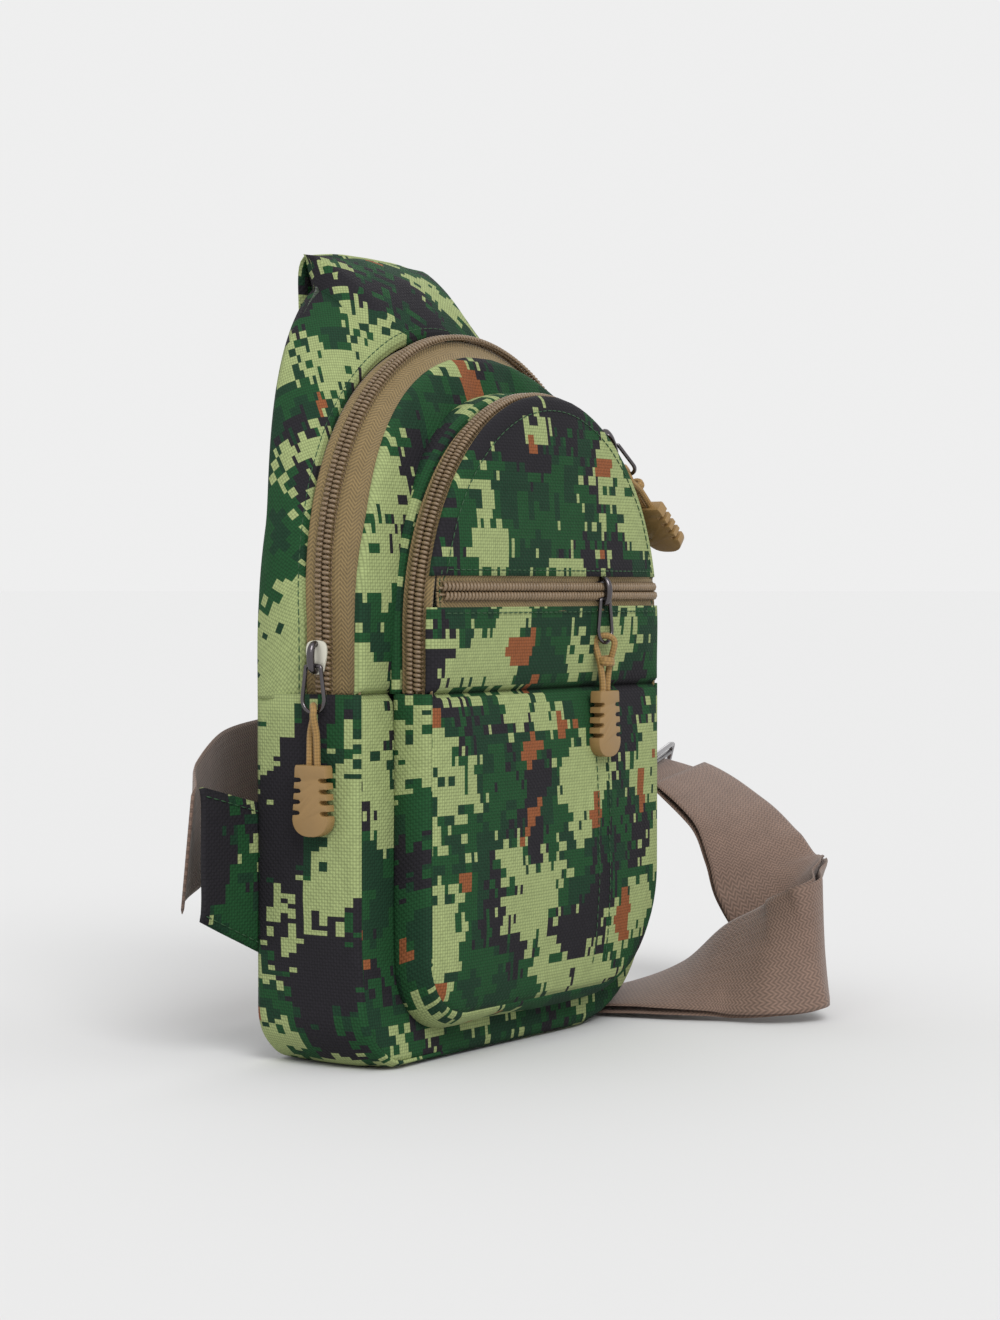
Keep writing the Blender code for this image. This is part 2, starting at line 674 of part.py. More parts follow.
def make_tri_glide(metal, steel):
    """The adjuster: a flat metal loop round the strap, and the bar that its end is sewn round."""
    at = GLIDE_STATION * STRAP_STEPS + STRAP_STEPS // 2
    middle, wide, normal = strap_frames()[at]
    frame = Matrix((wide, normal, wide.cross(normal))).transposed().to_4x4()
    frame.translation = middle
    half = WEBBING / 2 + GLIDE_SIDE + GLIDE_WIRE
    near = -WEBBING_THICK - GLIDE_CLEAR - GLIDE_WIRE
    far = near + GLIDE_HIGH
    loop = [(-half, near, 0), (half, near, 0), (half, far, 0), (-half, far, 0)]
    tube("tri_glide_frame", loop, GLIDE_WIRE, steel, frame, closed=True)
    height = WEBBING_THICK / 2 + GLIDE_CLEAR + GLIDE_BAR
    reach = half - GLIDE_WIRE - GAP
    bar = [(-reach, height, 0), (reach, height, 0)]
    tube("tri_glide_bar", bar, GLIDE_BAR, metal, frame)


def make_wing(camo):
    """The fabric triangle at the lower left seam, sewn over the start of the strap."""
    lap = Vector((-WING_LAP, -WING_FRONT, 0))
    tip = Vector(STRAP_ROUTE[0][0]) + lap
    seam_x = -HALF_WIDTH + PANEL
    seam_y = BACK_Y + GAP
    back = [Vector((seam_x, seam_y, WING_LOW)), Vector((seam_x, seam_y, WING_HIGH))]
    up = Vector((0, 0, WEBBING / 2))
    rows = [back, [tip - up, tip + up]]
    rear = [[p + Vector((0, PANEL, 0)) for p in row] for row in rows]
    grid_solid("left_wing", rows, rear, camo)


def hang_flaps():
    """Both flaps turn about the fold line, so an empty on it carries their pieces."""
    fold = bpy.data.objects.new("fold_line", None)
    fold.location = (0, FOLD_Y, SEAM_Z)
    bpy.context.collection.objects.link(fold)
    for name in FLAP_PIECES:
        piece = bpy.data.objects[name]
        piece.parent = fold
        piece.matrix_parent_inverse = Matrix.Translation(fold.location).inverted()


def build():
    clear_scene()
    camo = material("camo_fabric", CAMO)
    lining = material("pocket_lining", LINING_GREY)
    mesh = material("back_mesh", BACK_GREEN)
    foam = material("foam", FOAM_GREY)
    tape = material("zip_tape", TAPE_TAN)
    coil = material("zip_coil", COIL_BROWN, 0.4)
    silver = material("slider_metal", SILVER, 0.3, 1.0)
    gunmetal = material("gunmetal", GUNMETAL, 0.35, 1.0)
    cord = material("pull_cord", CORD_TAN, 0.8)
    tag = material("pull_tag", TAG_TAN, 0.5)
    webbing = material("webbing", WEBBING_BROWN)
    make_body(camo, foam, mesh)
    make_main_zip(tape, coil)
    make_pocket(camo, tape, coil)
    make_slip_zip(tape, coil, lining)
    make_pulls((silver, gunmetal, cord, tag))
    make_shoulder_pad(camo, webbing, gunmetal)
    make_strap(webbing, gunmetal, silver)
    make_wing(camo)
    hang_flaps()


build()
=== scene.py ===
"""Sling bag: cloth shell, zips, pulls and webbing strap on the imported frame."""

import json
import math

import bmesh
import bpy
import numpy as np
from mathutils import Matrix, Vector, noise


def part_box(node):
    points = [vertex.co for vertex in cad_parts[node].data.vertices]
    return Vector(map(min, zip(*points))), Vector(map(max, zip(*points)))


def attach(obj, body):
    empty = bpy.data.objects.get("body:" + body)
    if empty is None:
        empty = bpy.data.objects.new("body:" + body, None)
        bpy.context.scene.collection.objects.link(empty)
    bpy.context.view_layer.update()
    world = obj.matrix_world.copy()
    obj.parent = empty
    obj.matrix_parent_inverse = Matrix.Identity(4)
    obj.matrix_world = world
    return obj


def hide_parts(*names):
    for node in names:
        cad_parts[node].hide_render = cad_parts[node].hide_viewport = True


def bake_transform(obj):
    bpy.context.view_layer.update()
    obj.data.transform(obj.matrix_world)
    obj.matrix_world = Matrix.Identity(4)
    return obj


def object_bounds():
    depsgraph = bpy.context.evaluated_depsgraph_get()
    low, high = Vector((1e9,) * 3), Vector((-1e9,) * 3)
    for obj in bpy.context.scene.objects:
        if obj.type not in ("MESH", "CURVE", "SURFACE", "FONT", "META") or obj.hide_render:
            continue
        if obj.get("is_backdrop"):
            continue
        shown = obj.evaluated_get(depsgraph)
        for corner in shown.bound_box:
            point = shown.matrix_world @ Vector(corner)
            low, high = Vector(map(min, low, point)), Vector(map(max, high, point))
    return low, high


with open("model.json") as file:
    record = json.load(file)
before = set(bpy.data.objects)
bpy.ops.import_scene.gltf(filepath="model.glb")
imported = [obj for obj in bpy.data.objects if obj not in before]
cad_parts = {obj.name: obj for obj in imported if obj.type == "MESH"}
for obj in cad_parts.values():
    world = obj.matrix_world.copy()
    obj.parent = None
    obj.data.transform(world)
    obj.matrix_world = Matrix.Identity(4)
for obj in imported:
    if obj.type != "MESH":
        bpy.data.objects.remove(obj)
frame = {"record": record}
CAD_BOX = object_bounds()
RECORD = frame["record"]
JOINTS = {joint["name"]: joint for joint in RECORD["behaviour"]["joints"]}

# Outline of the bag, in metres
HALF = 0.100
SEAM = 0.137
BASE_CORNERS = ((0.020, 0.020), (0.065, 0.045))
BACK_Y = 0.024
BACK_SPRING = 0.150
BACK_RISE = 0.155
BACK_SEWN = 0.034  # the back's channels lie this far each side of its middle
FRONT_Y = -0.024
ZIP_Y = -0.0075
ZIP_SPRING = 0.165
ZIP_TOP = 0.274
FRONT_TOP = 0.266
NECK_HALF = 0.038
NECK_TOP = 0.3075
POCKET_HALF = 0.081
POCKET_SPRING = 0.160
POCKET_TOP = 0.250
POCKET_BOTTOM = 0.0115
POCKET_CORNERS = ((0.024, 0.024), (0.045, 0.045))
POCKET_Y = -0.042
POCKET_ZIP_Y = -0.0345
SLIP_Z = 0.1745
SLIP_HALF = 0.076
TAPE_HIGH = 0.0068
TAPE_THICK = 0.0008
ZIP_GAP = 0.0002  # half of the gap between a zip's two tapes
TOOTH = 0.0020  # pitch of the coils
WEAVE = 0.0012  # half of the yarns' pitch
PIXEL = 0.0036  # one cell of the camouflage
CLOTH = 0.0012


# Materials

def linear(r, g, b):
    """Scene-linear values of an sRGB colour given in 0 to 255."""
    out = []
    for c in (r, g, b):
        c /= 255
        out.append(c / 12.92 if c <= 0.04045 else ((c + 0.055) / 1.055) ** 2.4)
    return (*out, 1.0)


LIGHT = linear(156, 169, 114)
GREEN = linear(26, 72, 38)
DEEP = linear(22, 56, 36)
SLATE = linear(33, 31, 36)
RUST = linear(140, 82, 48)
TAPE = linear(132, 111, 72)
COIL = linear(122, 102, 78)
CORD = linear(148, 115, 64)
TAG = linear(140, 111, 68)
WEB = linear(120, 97, 84)
KNIT_GREEN = linear(46, 62, 44)


class Shader:
    """Builds a node material one step at a time."""

    def __init__(self, name):
        self.material = bpy.data.materials.new(name)
        self.material.use_nodes = True
        self.tree = self.material.node_tree
        self.out = self.tree.nodes["Principled BSDF"]

    def node(self, kind, **settings):
        made = self.tree.nodes.new(kind)
        for key, value in settings.items():
            setattr(made, key, value)
        return made

    def feed(self, socket, value):
        if isinstance(value, bpy.types.NodeSocket):
            self.tree.links.new(value, socket)
        else:
            socket.default_value = value

    def math(self, operation, a, b=0.0, c=0.0):
        made = self.node("ShaderNodeMath", operation=operation)
        for socket, value in zip(made.inputs, (a, b, c)):
            self.feed(socket, value)
        return made.outputs[0]

    def mix(self, factor, a, b, blend="MIX"):
        made = self.node("ShaderNodeMix", data_type="RGBA", blend_type=blend)
        self.feed(made.inputs[0], factor)
        self.feed(made.inputs[6], a)
        self.feed(made.inputs[7], b)
        return made.outputs[2]

    def combine(self, x, y, z=0.0):
        made = self.node("ShaderNodeCombineXYZ")
        for socket, value in zip(made.inputs, (x, y, z)):
            self.feed(socket, value)
        return made.outputs[0]

    def darken(self, colour, shade):
        return self.mix(1.0, colour, self.combine(shade, shade, shade), "MULTIPLY")

    def snap(self, value, size):
        return self.math("MULTIPLY", self.math("FLOOR", self.math("DIVIDE", value, size)), size)

    def noise(self, vector, scale, detail=2.0, rough=0.5):
        made = self.node("ShaderNodeTexNoise")
        self.feed(made.inputs["Vector"], vector)
        made.inputs["Scale"].default_value = scale
        made.inputs["Detail"].default_value = detail
        made.inputs["Roughness"].default_value = rough
        return made.outputs["Fac"]

    def uv(self):
        parts = self.node("ShaderNodeSeparateXYZ")
        self.tree.links.new(self.node("ShaderNodeUVMap").outputs[0], parts.inputs[0])
        return parts.outputs[0], parts.outputs[1]

    def object_space(self):
        return self.node("ShaderNodeTexCoord").outputs["Object"]

    def bump(self, height, strength, distance):
        made = self.node("ShaderNodeBump")
        made.inputs["Strength"].default_value = strength
        made.inputs["Distance"].default_value = distance
        self.feed(made.inputs["Height"], height)
        self.feed(self.out.inputs["Normal"], made.outputs[0])

    def set(self, **values):
        for key, value in values.items():
            self.feed(self.out.inputs[key.replace("_", " ")], value)
        return self.material


def weave(s, u, v, pitch):
    """(height, gap) of a plain weave: a chequer of yarns, and the gaps between them, which get painted
    shade from gap.
    """
    su = s.math("SINE", s.math("MULTIPLY", u, math.pi / pitch))
    sv = s.math("SINE", s.math("MULTIPLY", v, math.pi / pitch))
    product = s.math("MULTIPLY", su, sv)
    height = s.math("MULTIPLY_ADD", product, 0.5, 0.5)
    gap = s.math("POWER", s.math("ABSOLUTE", product), 0.45)
    return height, gap


def camo_material():
    """Digital camouflage: square cells of light green, green, slate and rust on a plain weave, with painted
    shade in the weave's gaps.
    """
    s = Shader("camo_cloth")
    u, v = s.uv()
    cell_u = s.snap(u, PIXEL)
    cell_v = s.snap(v, PIXEL)
    half_u = s.snap(u, PIXEL / 2)
    cell = s.combine(cell_u, cell_v)
    fine = s.combine(half_u, cell_v)
    far = s.combine(cell_u, cell_v, 3.7)
    farther = s.combine(half_u, cell_v, 7.9)
    ragged = s.math("MULTIPLY_ADD", s.noise(fine, 210.0, 0.0), 0.28, -0.14)
    blob = s.math("ADD", s.noise(cell, 24.0, 1.8, 0.55), ragged)
    dark = s.math("ADD", s.noise(far, 22.0, 1.4, 0.5), ragged)
    spot = s.noise(farther, 44.0, 1.0, 0.5)
    mottle = s.noise(s.combine(u, v, 1.3), 260.0, 2.0, 0.6)
    green = s.mix(s.math("GREATER_THAN", s.noise(far, 95.0, 1.0), 0.52), GREEN, DEEP)
    colour = s.mix(s.math("GREATER_THAN", dark, 0.555), green, SLATE)
    colour = s.mix(s.math("GREATER_THAN", blob, 0.535), colour, LIGHT)
    colour = s.mix(s.math("GREATER_THAN", spot, 0.70), colour, RUST)
    height, gap = weave(s, u, v, WEAVE)
    # painted shade: the colour darkens to about half in the weave's gaps; the mottle below is random tone
    shade = s.math("MULTIPLY_ADD", gap, 0.52, 0.48)
    shade = s.math("MULTIPLY", shade, s.math("MULTIPLY_ADD", mottle, 0.40, 0.80))
    colour = s.darken(colour, shade)
    s.bump(height, 0.5, 0.0004)
    return s.set(Base_Color=colour, Roughness=0.85, Specular_IOR_Level=0.25)


def chevron_material(name, colour, width, pitch, contrast, roughness=0.8):
    """Herringbone: slanting ribs that turn back every width across the tape, with painted shade in the
    troughs between them and painted light on their crests. u runs across.
    """
    s = Shader(name)
    u, v = s.uv()
    zigzag = s.math("PINGPONG", u, width)
    slant = s.math("ADD", v, zigzag)
    rib = s.math("SINE", s.math("MULTIPLY", slant, 2 * math.pi / pitch))
    thread = s.math("SINE", s.math("MULTIPLY", u, 2 * math.pi / (pitch * 0.8)))
    height = s.math("ADD", s.math("MULTIPLY_ADD", rib, 0.4, 0.4), s.math("MULTIPLY", thread, 0.1))
    mottle = s.noise(s.combine(u, v), 140.0, 3.0, 0.6)
    # painted shade and light: the colour follows the ribs' height, darker in the troughs and lighter on the
    # crests; the mottle is random tone
    shade = s.math("MULTIPLY_ADD", height, contrast, 1.0 - contrast * 0.6)
    shade = s.math("MULTIPLY", shade, s.math("MULTIPLY_ADD", mottle, 0.4, 0.8))
    colour = s.darken(colour, shade)
    s.bump(height, 0.6, 0.0003)
    return s.set(Base_Color=colour, Roughness=roughness, Sheen_Weight=0.15, Sheen_Roughness=0.5)


def grain_material(name, colour, roughness, metallic=0.0, scale=900.0, depth=0.05, vary=0.2):
    """A fine even grain for moulded plastic, thread and plated metal."""
    s = Shader(name)
    place = s.object_space()
    large = s.noise(place, scale * 0.12, 3.0, 0.6)
    small = s.noise(place, scale, 2.0, 0.5)
    shade = s.math("MULTIPLY_ADD", large, vary * 2, 1.0 - vary)
    colour = s.darken(colour, shade)
    s.bump(small, depth, 0.0004)
    rough = s.math("MULTIPLY_ADD", large, 0.16, roughness - 0.08)
    return s.set(Base_Color=colour, Roughness=rough, Metallic=metallic)


def cord_material():
    """Braid: two sets of slanting strands round the cord, with painted shade between them and painted light
    on their crowns. u runs round it, v along.
    """
    s = Shader("braided_cord")
    u, v = s.uv()
    ahead = s.math("SINE", s.math("MULTIPLY_ADD", u, 18.85, s.math("MULTIPLY", v, 2600.0)))
    astern = s.math("SINE", s.math("MULTIPLY_ADD", u, -18.85, s.math("MULTIPLY", v, 2600.0)))
    height = s.math("MULTIPLY_ADD", s.math("MULTIPLY", ahead, astern), 0.5, 0.5)
    # painted shade and light: the colour follows the strands' height, darker between them and lighter on
    # their crowns
    shade = s.math("MULTIPLY_ADD", height, 0.5, 0.66)
    colour = s.darken(CORD, shade)
    s.bump(height, 0.5, 0.0003)
    return s.set(Base_Color=colour, Roughness=0.7, Sheen_Weight=0.1)


def spacer_material():
    """Back cloth: an open hexagonal knit over foam, with painted shade in the hollows at its cells' edges.
    """
    s = Shader("back_knit")
    u, v = s.uv()
    cells = s.node("ShaderNodeTexVoronoi", feature="DISTANCE_TO_EDGE")
    s.feed(cells.inputs["Vector"], s.combine(u, s.math("MULTIPLY", v, 0.8)))
    cells.inputs["Scale"].default_value = 420.0
    cells.inputs["Randomness"].default_value = 0.15
    wall = s.math("SMOOTH_MIN", s.math("MULTIPLY", cells.outputs["Distance"], 5.0), 1.0, 0.2)
    # painted shade: the colour darkens towards each cell's edge, where the bump sinks
    shade = s.math("MULTIPLY_ADD", wall, 0.55, 0.5)
    colour = s.darken(KNIT_GREEN, shade)
    s.bump(wall, 0.6, 0.0006)
    return s.set(Base_Color=colour, Roughness=0.85, Sheen_Weight=0.2)


CAMO = camo_material()
ZIP_TAPE = chevron_material("zip_tape_cloth", TAPE, 0.0032, 0.0017, 0.62)
WEBBING = chevron_material("strap_webbing_cloth", WEB, 0.0017, 0.0017, 0.62, 0.78)
ZIP_COIL = grain_material("nylon_coil", COIL, 0.36, 0.0, 1500.0, 0.03, 0.3)
THREAD = grain_material("sewing_thread", linear(38, 74, 44), 0.7, 0.0, 2500.0, 0.3, 0.3)
TAN_THREAD = grain_material("tan_thread", linear(120, 100, 76), 0.7, 0.0, 2500.0, 0.3, 0.3)
CREAM = grain_material("cream_slider", linear(205, 202, 188), 0.34, 0.35, 500.0, 0.02, 0.08)
GUNMETAL = grain_material("gunmetal_plate", linear(92, 88, 90), 0.24, 0.95, 700.0, 0.03, 0.25)
STEEL = grain_material("plated_steel", linear(150, 148, 150), 0.25, 1.0, 700.0, 0.03, 0.2)
TAG_RUBBER = grain_material("moulded_tag", TAG, 0.48, 0.0, 1400.0, 0.12, 0.08)
BRAID = cord_material()
KNIT = spacer_material()
LINING = chevron_material("coated_lining", linear(96, 98, 84), 0.004, 0.0012, 0.15)


# Meshes

def new_piece(name, mesh, finish, body, replaces=()):
    """Links a mesh as a piece that rides on a body and stands for CAD nodes."""
    mesh.materials.append(finish)
    piece = bpy.data.objects.new(name, mesh)
    bpy.context.collection.objects.link(piece)
    if body:
        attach(piece, body)
    if replaces:
        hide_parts(*replaces)
    return piece


def camo_piece(name, mesh, body, node):
    return new_piece(name, mesh, CAMO, body, [node])


def sheet_mesh(name, grid, uvs, thick=0.0, close=False):
    """A smooth sheet from rows of points, with its own UV in metres and an optional thickness."""
    rows, columns = len(grid), len(grid[0])
    points = [tuple(p) for row in grid for p in row]
    around = columns if close else columns - 1
    faces = []
    coords = []
    for r in range(rows - 1):
        for c in range(around):
            d = (c + 1) % columns
            faces.append((r * columns + c, r * columns + d, (r + 1) * columns + d, (r + 1) * columns + c))
            for i, j in ((r, c), (r, c + 1), (r + 1, c + 1), (r + 1, c)):
                coords.append(uvs(i, j))
    mesh = bpy.data.meshes.new(name)
    mesh.from_pydata(points, [], faces)
    layer = mesh.uv_layers.new(name="UVMap")
    layer.data.foreach_set("uv", np.array(coords, np.float32).ravel())
    mesh.shade_smooth()
    if thick:
        thicken(mesh, thick)
    return mesh


def thicken(mesh, thick):
    """Gives a sheet its thickness behind its face."""
    shape = bpy.data.objects.new("thicken", mesh)
    bpy.context.collection.objects.link(shape)
    solid = shape.modifiers.new("solid", "SOLIDIFY")
    solid.thickness = thick
    solid.offset = -1.0
    graph = bpy.context.evaluated_depsgraph_get()
    made = bpy.data.meshes.new_from_object(shape.evaluated_get(graph))
    holder = bmesh.new()
    holder.from_mesh(made)
    holder.to_mesh(mesh)
    holder.free()
    bpy.data.objects.remove(shape)
    bpy.data.meshes.remove(made)
    mesh.shade_smooth()


def turn_out(mesh, inwards):
    """Turns a sheet's faces round if inwards says that they face the wrong way."""
    shape = bmesh.new()
    shape.from_mesh(mesh)
    shape.normal_update()
    shape.faces.ensure_lookup_table()
    if inwards(shape.faces):
        bmesh.ops.reverse_faces(shape, faces=shape.faces)
    shape.to_mesh(mesh)
    shape.free()


def close_ends(mesh):
    """Fills the open ends of a tube-shaped mesh and turns its faces out."""
    shape = bmesh.new()
    shape.from_mesh(mesh)
    bmesh.ops.holes_fill(shape, edges=[e for e in shape.edges if e.is_boundary], sides=0)
    bmesh.ops.recalc_face_normals(shape, faces=shape.faces)
    shape.to_mesh(mesh)
    shape.free()
    mesh.shade_smooth()


def weld(mesh):
    """Joins the points that lie together and turns the faces out."""
    shape = bmesh.new()
    shape.from_mesh(mesh)
    bmesh.ops.remove_doubles(shape, verts=shape.verts, dist=1e-6)
    bmesh.ops.recalc_face_normals(shape, faces=shape.faces)
    shape.to_mesh(mesh)
    shape.free()


def lengths(points):
    """Running length along a list of points."""
    total = [0.0]
    for a, b in zip(points, points[1:]):
        total.append(total[-1] + (Vector(b) - Vector(a)).length)
    return total


def resample(points, count):
    """The same line with count points evenly spaced."""
    run = lengths(points)
    array = np.array([tuple(p) for p in points])
    where = np.linspace(0, run[-1], count)
    return [Vector(row) for row in np.stack([np.interp(where, run, array[:, i]) for i in range(3)], 1)]


def heading(points, i):
    """The direction of a line of points at one of them."""
    return (points[min(i + 1, len(points) - 1)] - points[max(i - 1, 0)]).normalized()


def moved(points, y, z=0.0):
    """The points moved along y and z."""
    return [p + Vector((0, y, z)) for p in points]


def crease(p, scale, seed):
    """Smooth noise from -1 to 1."""
    return noise.noise(Vector((p[0] * scale + seed, p[1] * scale - seed, p[2] * scale + 2 * seed)))


def tube_mesh(name, points, radius, sides=10, closed=False):
    """A round bar along points, with u once round it and v in metres along it."""
    points = [Vector(p) for p in points]
    count = len(points)
    radii = radius if isinstance(radius, list) else [radius] * count
    normal = Vector((0.31, 0.77, 0.55))
    rings = []
    for i, p in enumerate(points):
        before = points[i - 1] if i or closed else p
        after = points[(i + 1) % count] if i < count - 1 or closed else p
        along = (after - before).normalized()
        normal = (normal - along * normal.dot(along)).normalized()
        side = along.cross(normal)
        turns = [2 * math.pi * k / sides for k in range(sides)]
        rings.append([p + (normal * math.cos(t) + side * math.sin(t)) * radii[i] for t in turns])
    run = lengths(points + points[:1]) if closed else lengths(points)
    if closed:
        rings.append(rings[0])
    else:
        rings.insert(0, [points[0]] * sides)
        rings.append([points[-1]] * sides)
        run = [run[0], *run, run[-1]]
    mesh = sheet_mesh(name, rings, lambda i, j: (j / sides, run[i]), close=True)
    weld(mesh)
    return mesh


def join_meshes(name, meshes):
    """One mesh from several."""
    shape = bmesh.new()
    for mesh in meshes:
        shape.from_mesh(mesh)
        bpy.data.meshes.remove(mesh)
    made = bpy.data.meshes.new(name)
    shape.to_mesh(made)
    shape.free()
    made.shade_smooth()
    return made


def bars(name, lines, radius, sides=5):
    """Many short round bars as one mesh, each given as a list of points."""
    points, faces = [], []
    for line in lines:
        start = len(points)
        count = len(line)
        normal = None
        for i, p in enumerate(line):
            along = heading(line, i)
            if normal is None:
                normal = along.orthogonal().normalized()
            normal = (normal - along * normal.dot(along)).normalized()
            side = along.cross(normal)
            size = radius * (0.55 if i in (0, count - 1) else 1.0)
            for k in range(sides):
                turn = 2 * math.pi * k / sides
                points.append(p + (normal * math.cos(turn) + side * math.sin(turn)) * size)
        for i in range(count - 1):
            for k in range(sides):
                a = start + i * sides + k
                b = start + i * sides + (k + 1) % sides
                faces.append((a, b, b + sides, a + sides))
        faces.append(tuple(start + k for k in reversed(range(sides))))
        faces.append(tuple(start + (count - 1) * sides + k for k in range(sides)))
    mesh = bpy.data.meshes.new(name)
    mesh.from_pydata(points, [], faces)
    mesh.shade_smooth()
    return mesh


def stitches(name, line, body, finish=None, pitch=0.0034):
    """A row of sewn stitches along a line that lies on the cloth."""
    run = lengths(line)
    count = max(int(run[-1] / pitch), 2)
    fine = resample(line, count * 4 + 1)
    made = []
    for i in range(count):
        a = fine[4 * i]
        b = fine[4 * i + 3]
        made.append([a, (a + b) / 2, b])
    return new_piece(name, bars(name, made, 0.00028, 5), finish or THREAD, body)


# Outlines

def over_line(half, spring, top, start, legs=14, arc=110):
    """(x, z) from the left at height start over the arch to the right."""
    line = [(-half, start + (spring - start) * i / legs) for i in range(legs)]
    turns = [math.pi * (1 - i / arc) for i in range(arc + 1)]
    line += [(half * math.cos(t), spring + (top - spring) * math.sin(t)) for t in turns]
    return line + [(half, z) for _, z in reversed(line[:legs])]


def under_line(half, bottom, corners, start, steps=14, legs=14, flat=50):
    """(x, z) from the left at height start under the base to the right."""
    sides = []
    for sign, (wide, high) in zip((-1, 1), corners):
        side = [(sign * half, start + (bottom + high - start) * i / legs) for i in range(legs)]
        for i in range(steps + 1):
            turn = math.pi / 2 * i / steps
            x = half - wide * (1 - math.cos(turn))
            side.append((sign * x, bottom + high * (1 - math.sin(turn))))
        sides.append(side)
    left, right = sides
    x0, x1 = left[-1][0], right[-1][0]
    middle = [(x0 + (x1 - x0) * i / flat, bottom) for i in range(1, flat)]
    return left + middle + right[::-1]


def span(half, spring, top, bottom, corners, z):
    """(left x, right x) of an outline at a height."""
    if z > spring:
        x = half * math.sqrt(max(1 - ((z - spring) / (top - spring)) ** 2, 0))
        return -x, x
    ends = []
    for wide, high in corners:
        drop = min(max((bottom + high - z) / high, 0), 1)
        ends.append(half - wide * (1 - math.sqrt(1 - drop * drop)))
    return -ends[0], ends[1]


def edge_distance(x, z, line):
    """The distance from each point to a line of (x, z) points."""
    near = np.array(line)
    start, run = near[:-1], near[1:] - near[:-1]
    dx, dz = x[:, None] - start[None, :, 0], z[:, None] - start[None, :, 1]
    along = (dx * run[:, 0] + dz * run[:, 1]) / np.maximum((run ** 2).sum(1), 1e-12)
    along = np.clip(along, 0, 1)
    gaps = (dx - along * run[:, 0]) ** 2 + (dz - along * run[:, 1]) ** 2
    return np.sqrt(gaps.min(1))


def back_lean(z):
    return BACK_Y + 0.0245 * min(max((z - 0.2) / 0.107, 0), 1) ** 1.25


def zip_y(z):
    return ZIP_Y + 0.008 * min(max((z - ZIP_SPRING) / (ZIP_TOP - ZIP_SPRING), 0), 1)


def front_y(z):
    return FRONT_Y + 0.014 * min(max((z - 0.2) / (FRONT_TOP - 0.2), 0), 1) ** 1.3


def face_panel(name, shape, low, high, depth, bulge, seed, rows, columns, uv_shift, wrinkle=0.0006,
               round_by=0.0035):
    """A sewn panel that swells between its seams. depth gives the seam's y at a height."""
    half, spring, top, bottom, corners = shape
    line = over_line(half, spring, top, min(spring, SEAM))
    line = under_line(half, bottom, corners, min(spring, SEAM)) + line
    heights = [low + (high - low) * i / rows for i in range(rows + 1)]
    flat = []
    for z in heights:
        x0, x1 = span(half, spring, top, bottom, corners, z)
        for j in range(columns + 1):
            # columns crowd towards the seams, where the cloth rounds over
            t = 0.5 - 0.5 * math.cos(math.pi * j / columns)
            t = 0.6 * t + 0.4 * j / columns
            flat.append((x0 + (x1 - x0) * t, z))
    flat = np.array(flat)
    gap = edge_distance(flat[:, 0], flat[:, 1], line)
    points = []
    for (x, z), d in zip(flat, gap):
        rolled = min(d / round_by, 1)
        roll = round_by * 0.6 * (1 - math.sqrt(1 - (1 - rolled) ** 2))
        swell = bulge(x, z) * (1 - math.exp(-d / 0.018))
        dent = wrinkle * (crease((x, 0, z), 26.0, seed) + 0.6 * crease((x, 0, z), 60.0, seed + 9))
        dent *= min(d / 0.01, 1)
        points.append(Vector((x, depth(z) - (swell + dent - roll), z)))
    width = columns + 1
    grid = [points[i * width:(i + 1) * width] for i in range(rows + 1)]

    def uvs(i, j):
        p = grid[i][j]
        return (p.x + uv_shift[0], p.z + uv_shift[1])

    return sheet_mesh(name, grid, uvs, CLOTH), grid


def loft(name, first, second, steps, swell, seed, uv_shift, wrinkle, uv_turn=0.0, tuck=0.0014,
         floor=None):
    """A gusset between two lines of points: it swells outwards, and its edges turn in to the seams."""
    count = len(first)
    centre = Vector((0, 0, 0.13))
    run = lengths([(a + b) / 2 for a, b in zip(first, second)])
    rows = []
    for i in range(count):
        a, b = first[i], second[i]
        before, after = max(i - 1, 0), min(i + 1, count - 1)
        along = (first[after] + second[after] - first[before] - second[before]).normalized()
        normal = along.cross(b - a).normalized()
        if normal.dot((a + b) / 2 - centre) < 0:
            normal = -normal
        row = []
        for k in range(steps + 1):
            t = k / steps
            p = a.lerp(b, t)
            edge = min(t, 1 - t) * (b - a).length
            turn = min(edge / 0.003, 1)
            out = swell(run[i] / run[-1], t) * 4 * t * (1 - t)
            out -= tuck * (1 - math.sqrt(1 - (1 - turn) ** 2))
            dent = crease(p, 28.0, seed) + 0.6 * crease(p, 70.0, seed + 5)
            out += wrinkle * dent * min(edge / 0.006, 1)
            p = p + normal * out
            if floor is not None:
                p.z = max(p.z, floor)
            row.append(p)
        rows.append(row)
    cos, sin = math.cos(uv_turn), math.sin(uv_turn)
    widths = [lengths(row) for row in rows]

    def uvs(i, j):
        u, v = run[i] + uv_shift[0], widths[i][j] + uv_shift[1]
        return (u * cos - v * sin, u * sin + v * cos)

    mesh = sheet_mesh(name, rows, uvs)
    middle = rows[count // 4][steps // 2]

    def inwards(faces):
        near = min(faces, key=lambda f: (f.calc_center_median() - middle).length)
        return near.normal.dot(middle - centre) < 0

    turn_out(mesh, inwards)
    thicken(mesh, CLOTH)
    return mesh, rows


MAIN = (HALF, ZIP_SPRING, FRONT_TOP, 0.0, BASE_CORNERS)
POCKET = (POCKET_HALF, POCKET_SPRING, POCKET_TOP, POCKET_BOTTOM, POCKET_CORNERS)


# Camera

CAMERA_TURN = -56.06  # degrees
CAMERA_TILT = 1.37  # degrees down
CAMERA_AWAY = 1.153
CAMERA_SIDE = 0.01498
CAMERA_HIGH = 0.175
CAMERA_LENS = 105.3  # mm, on a sensor 36 mm wide


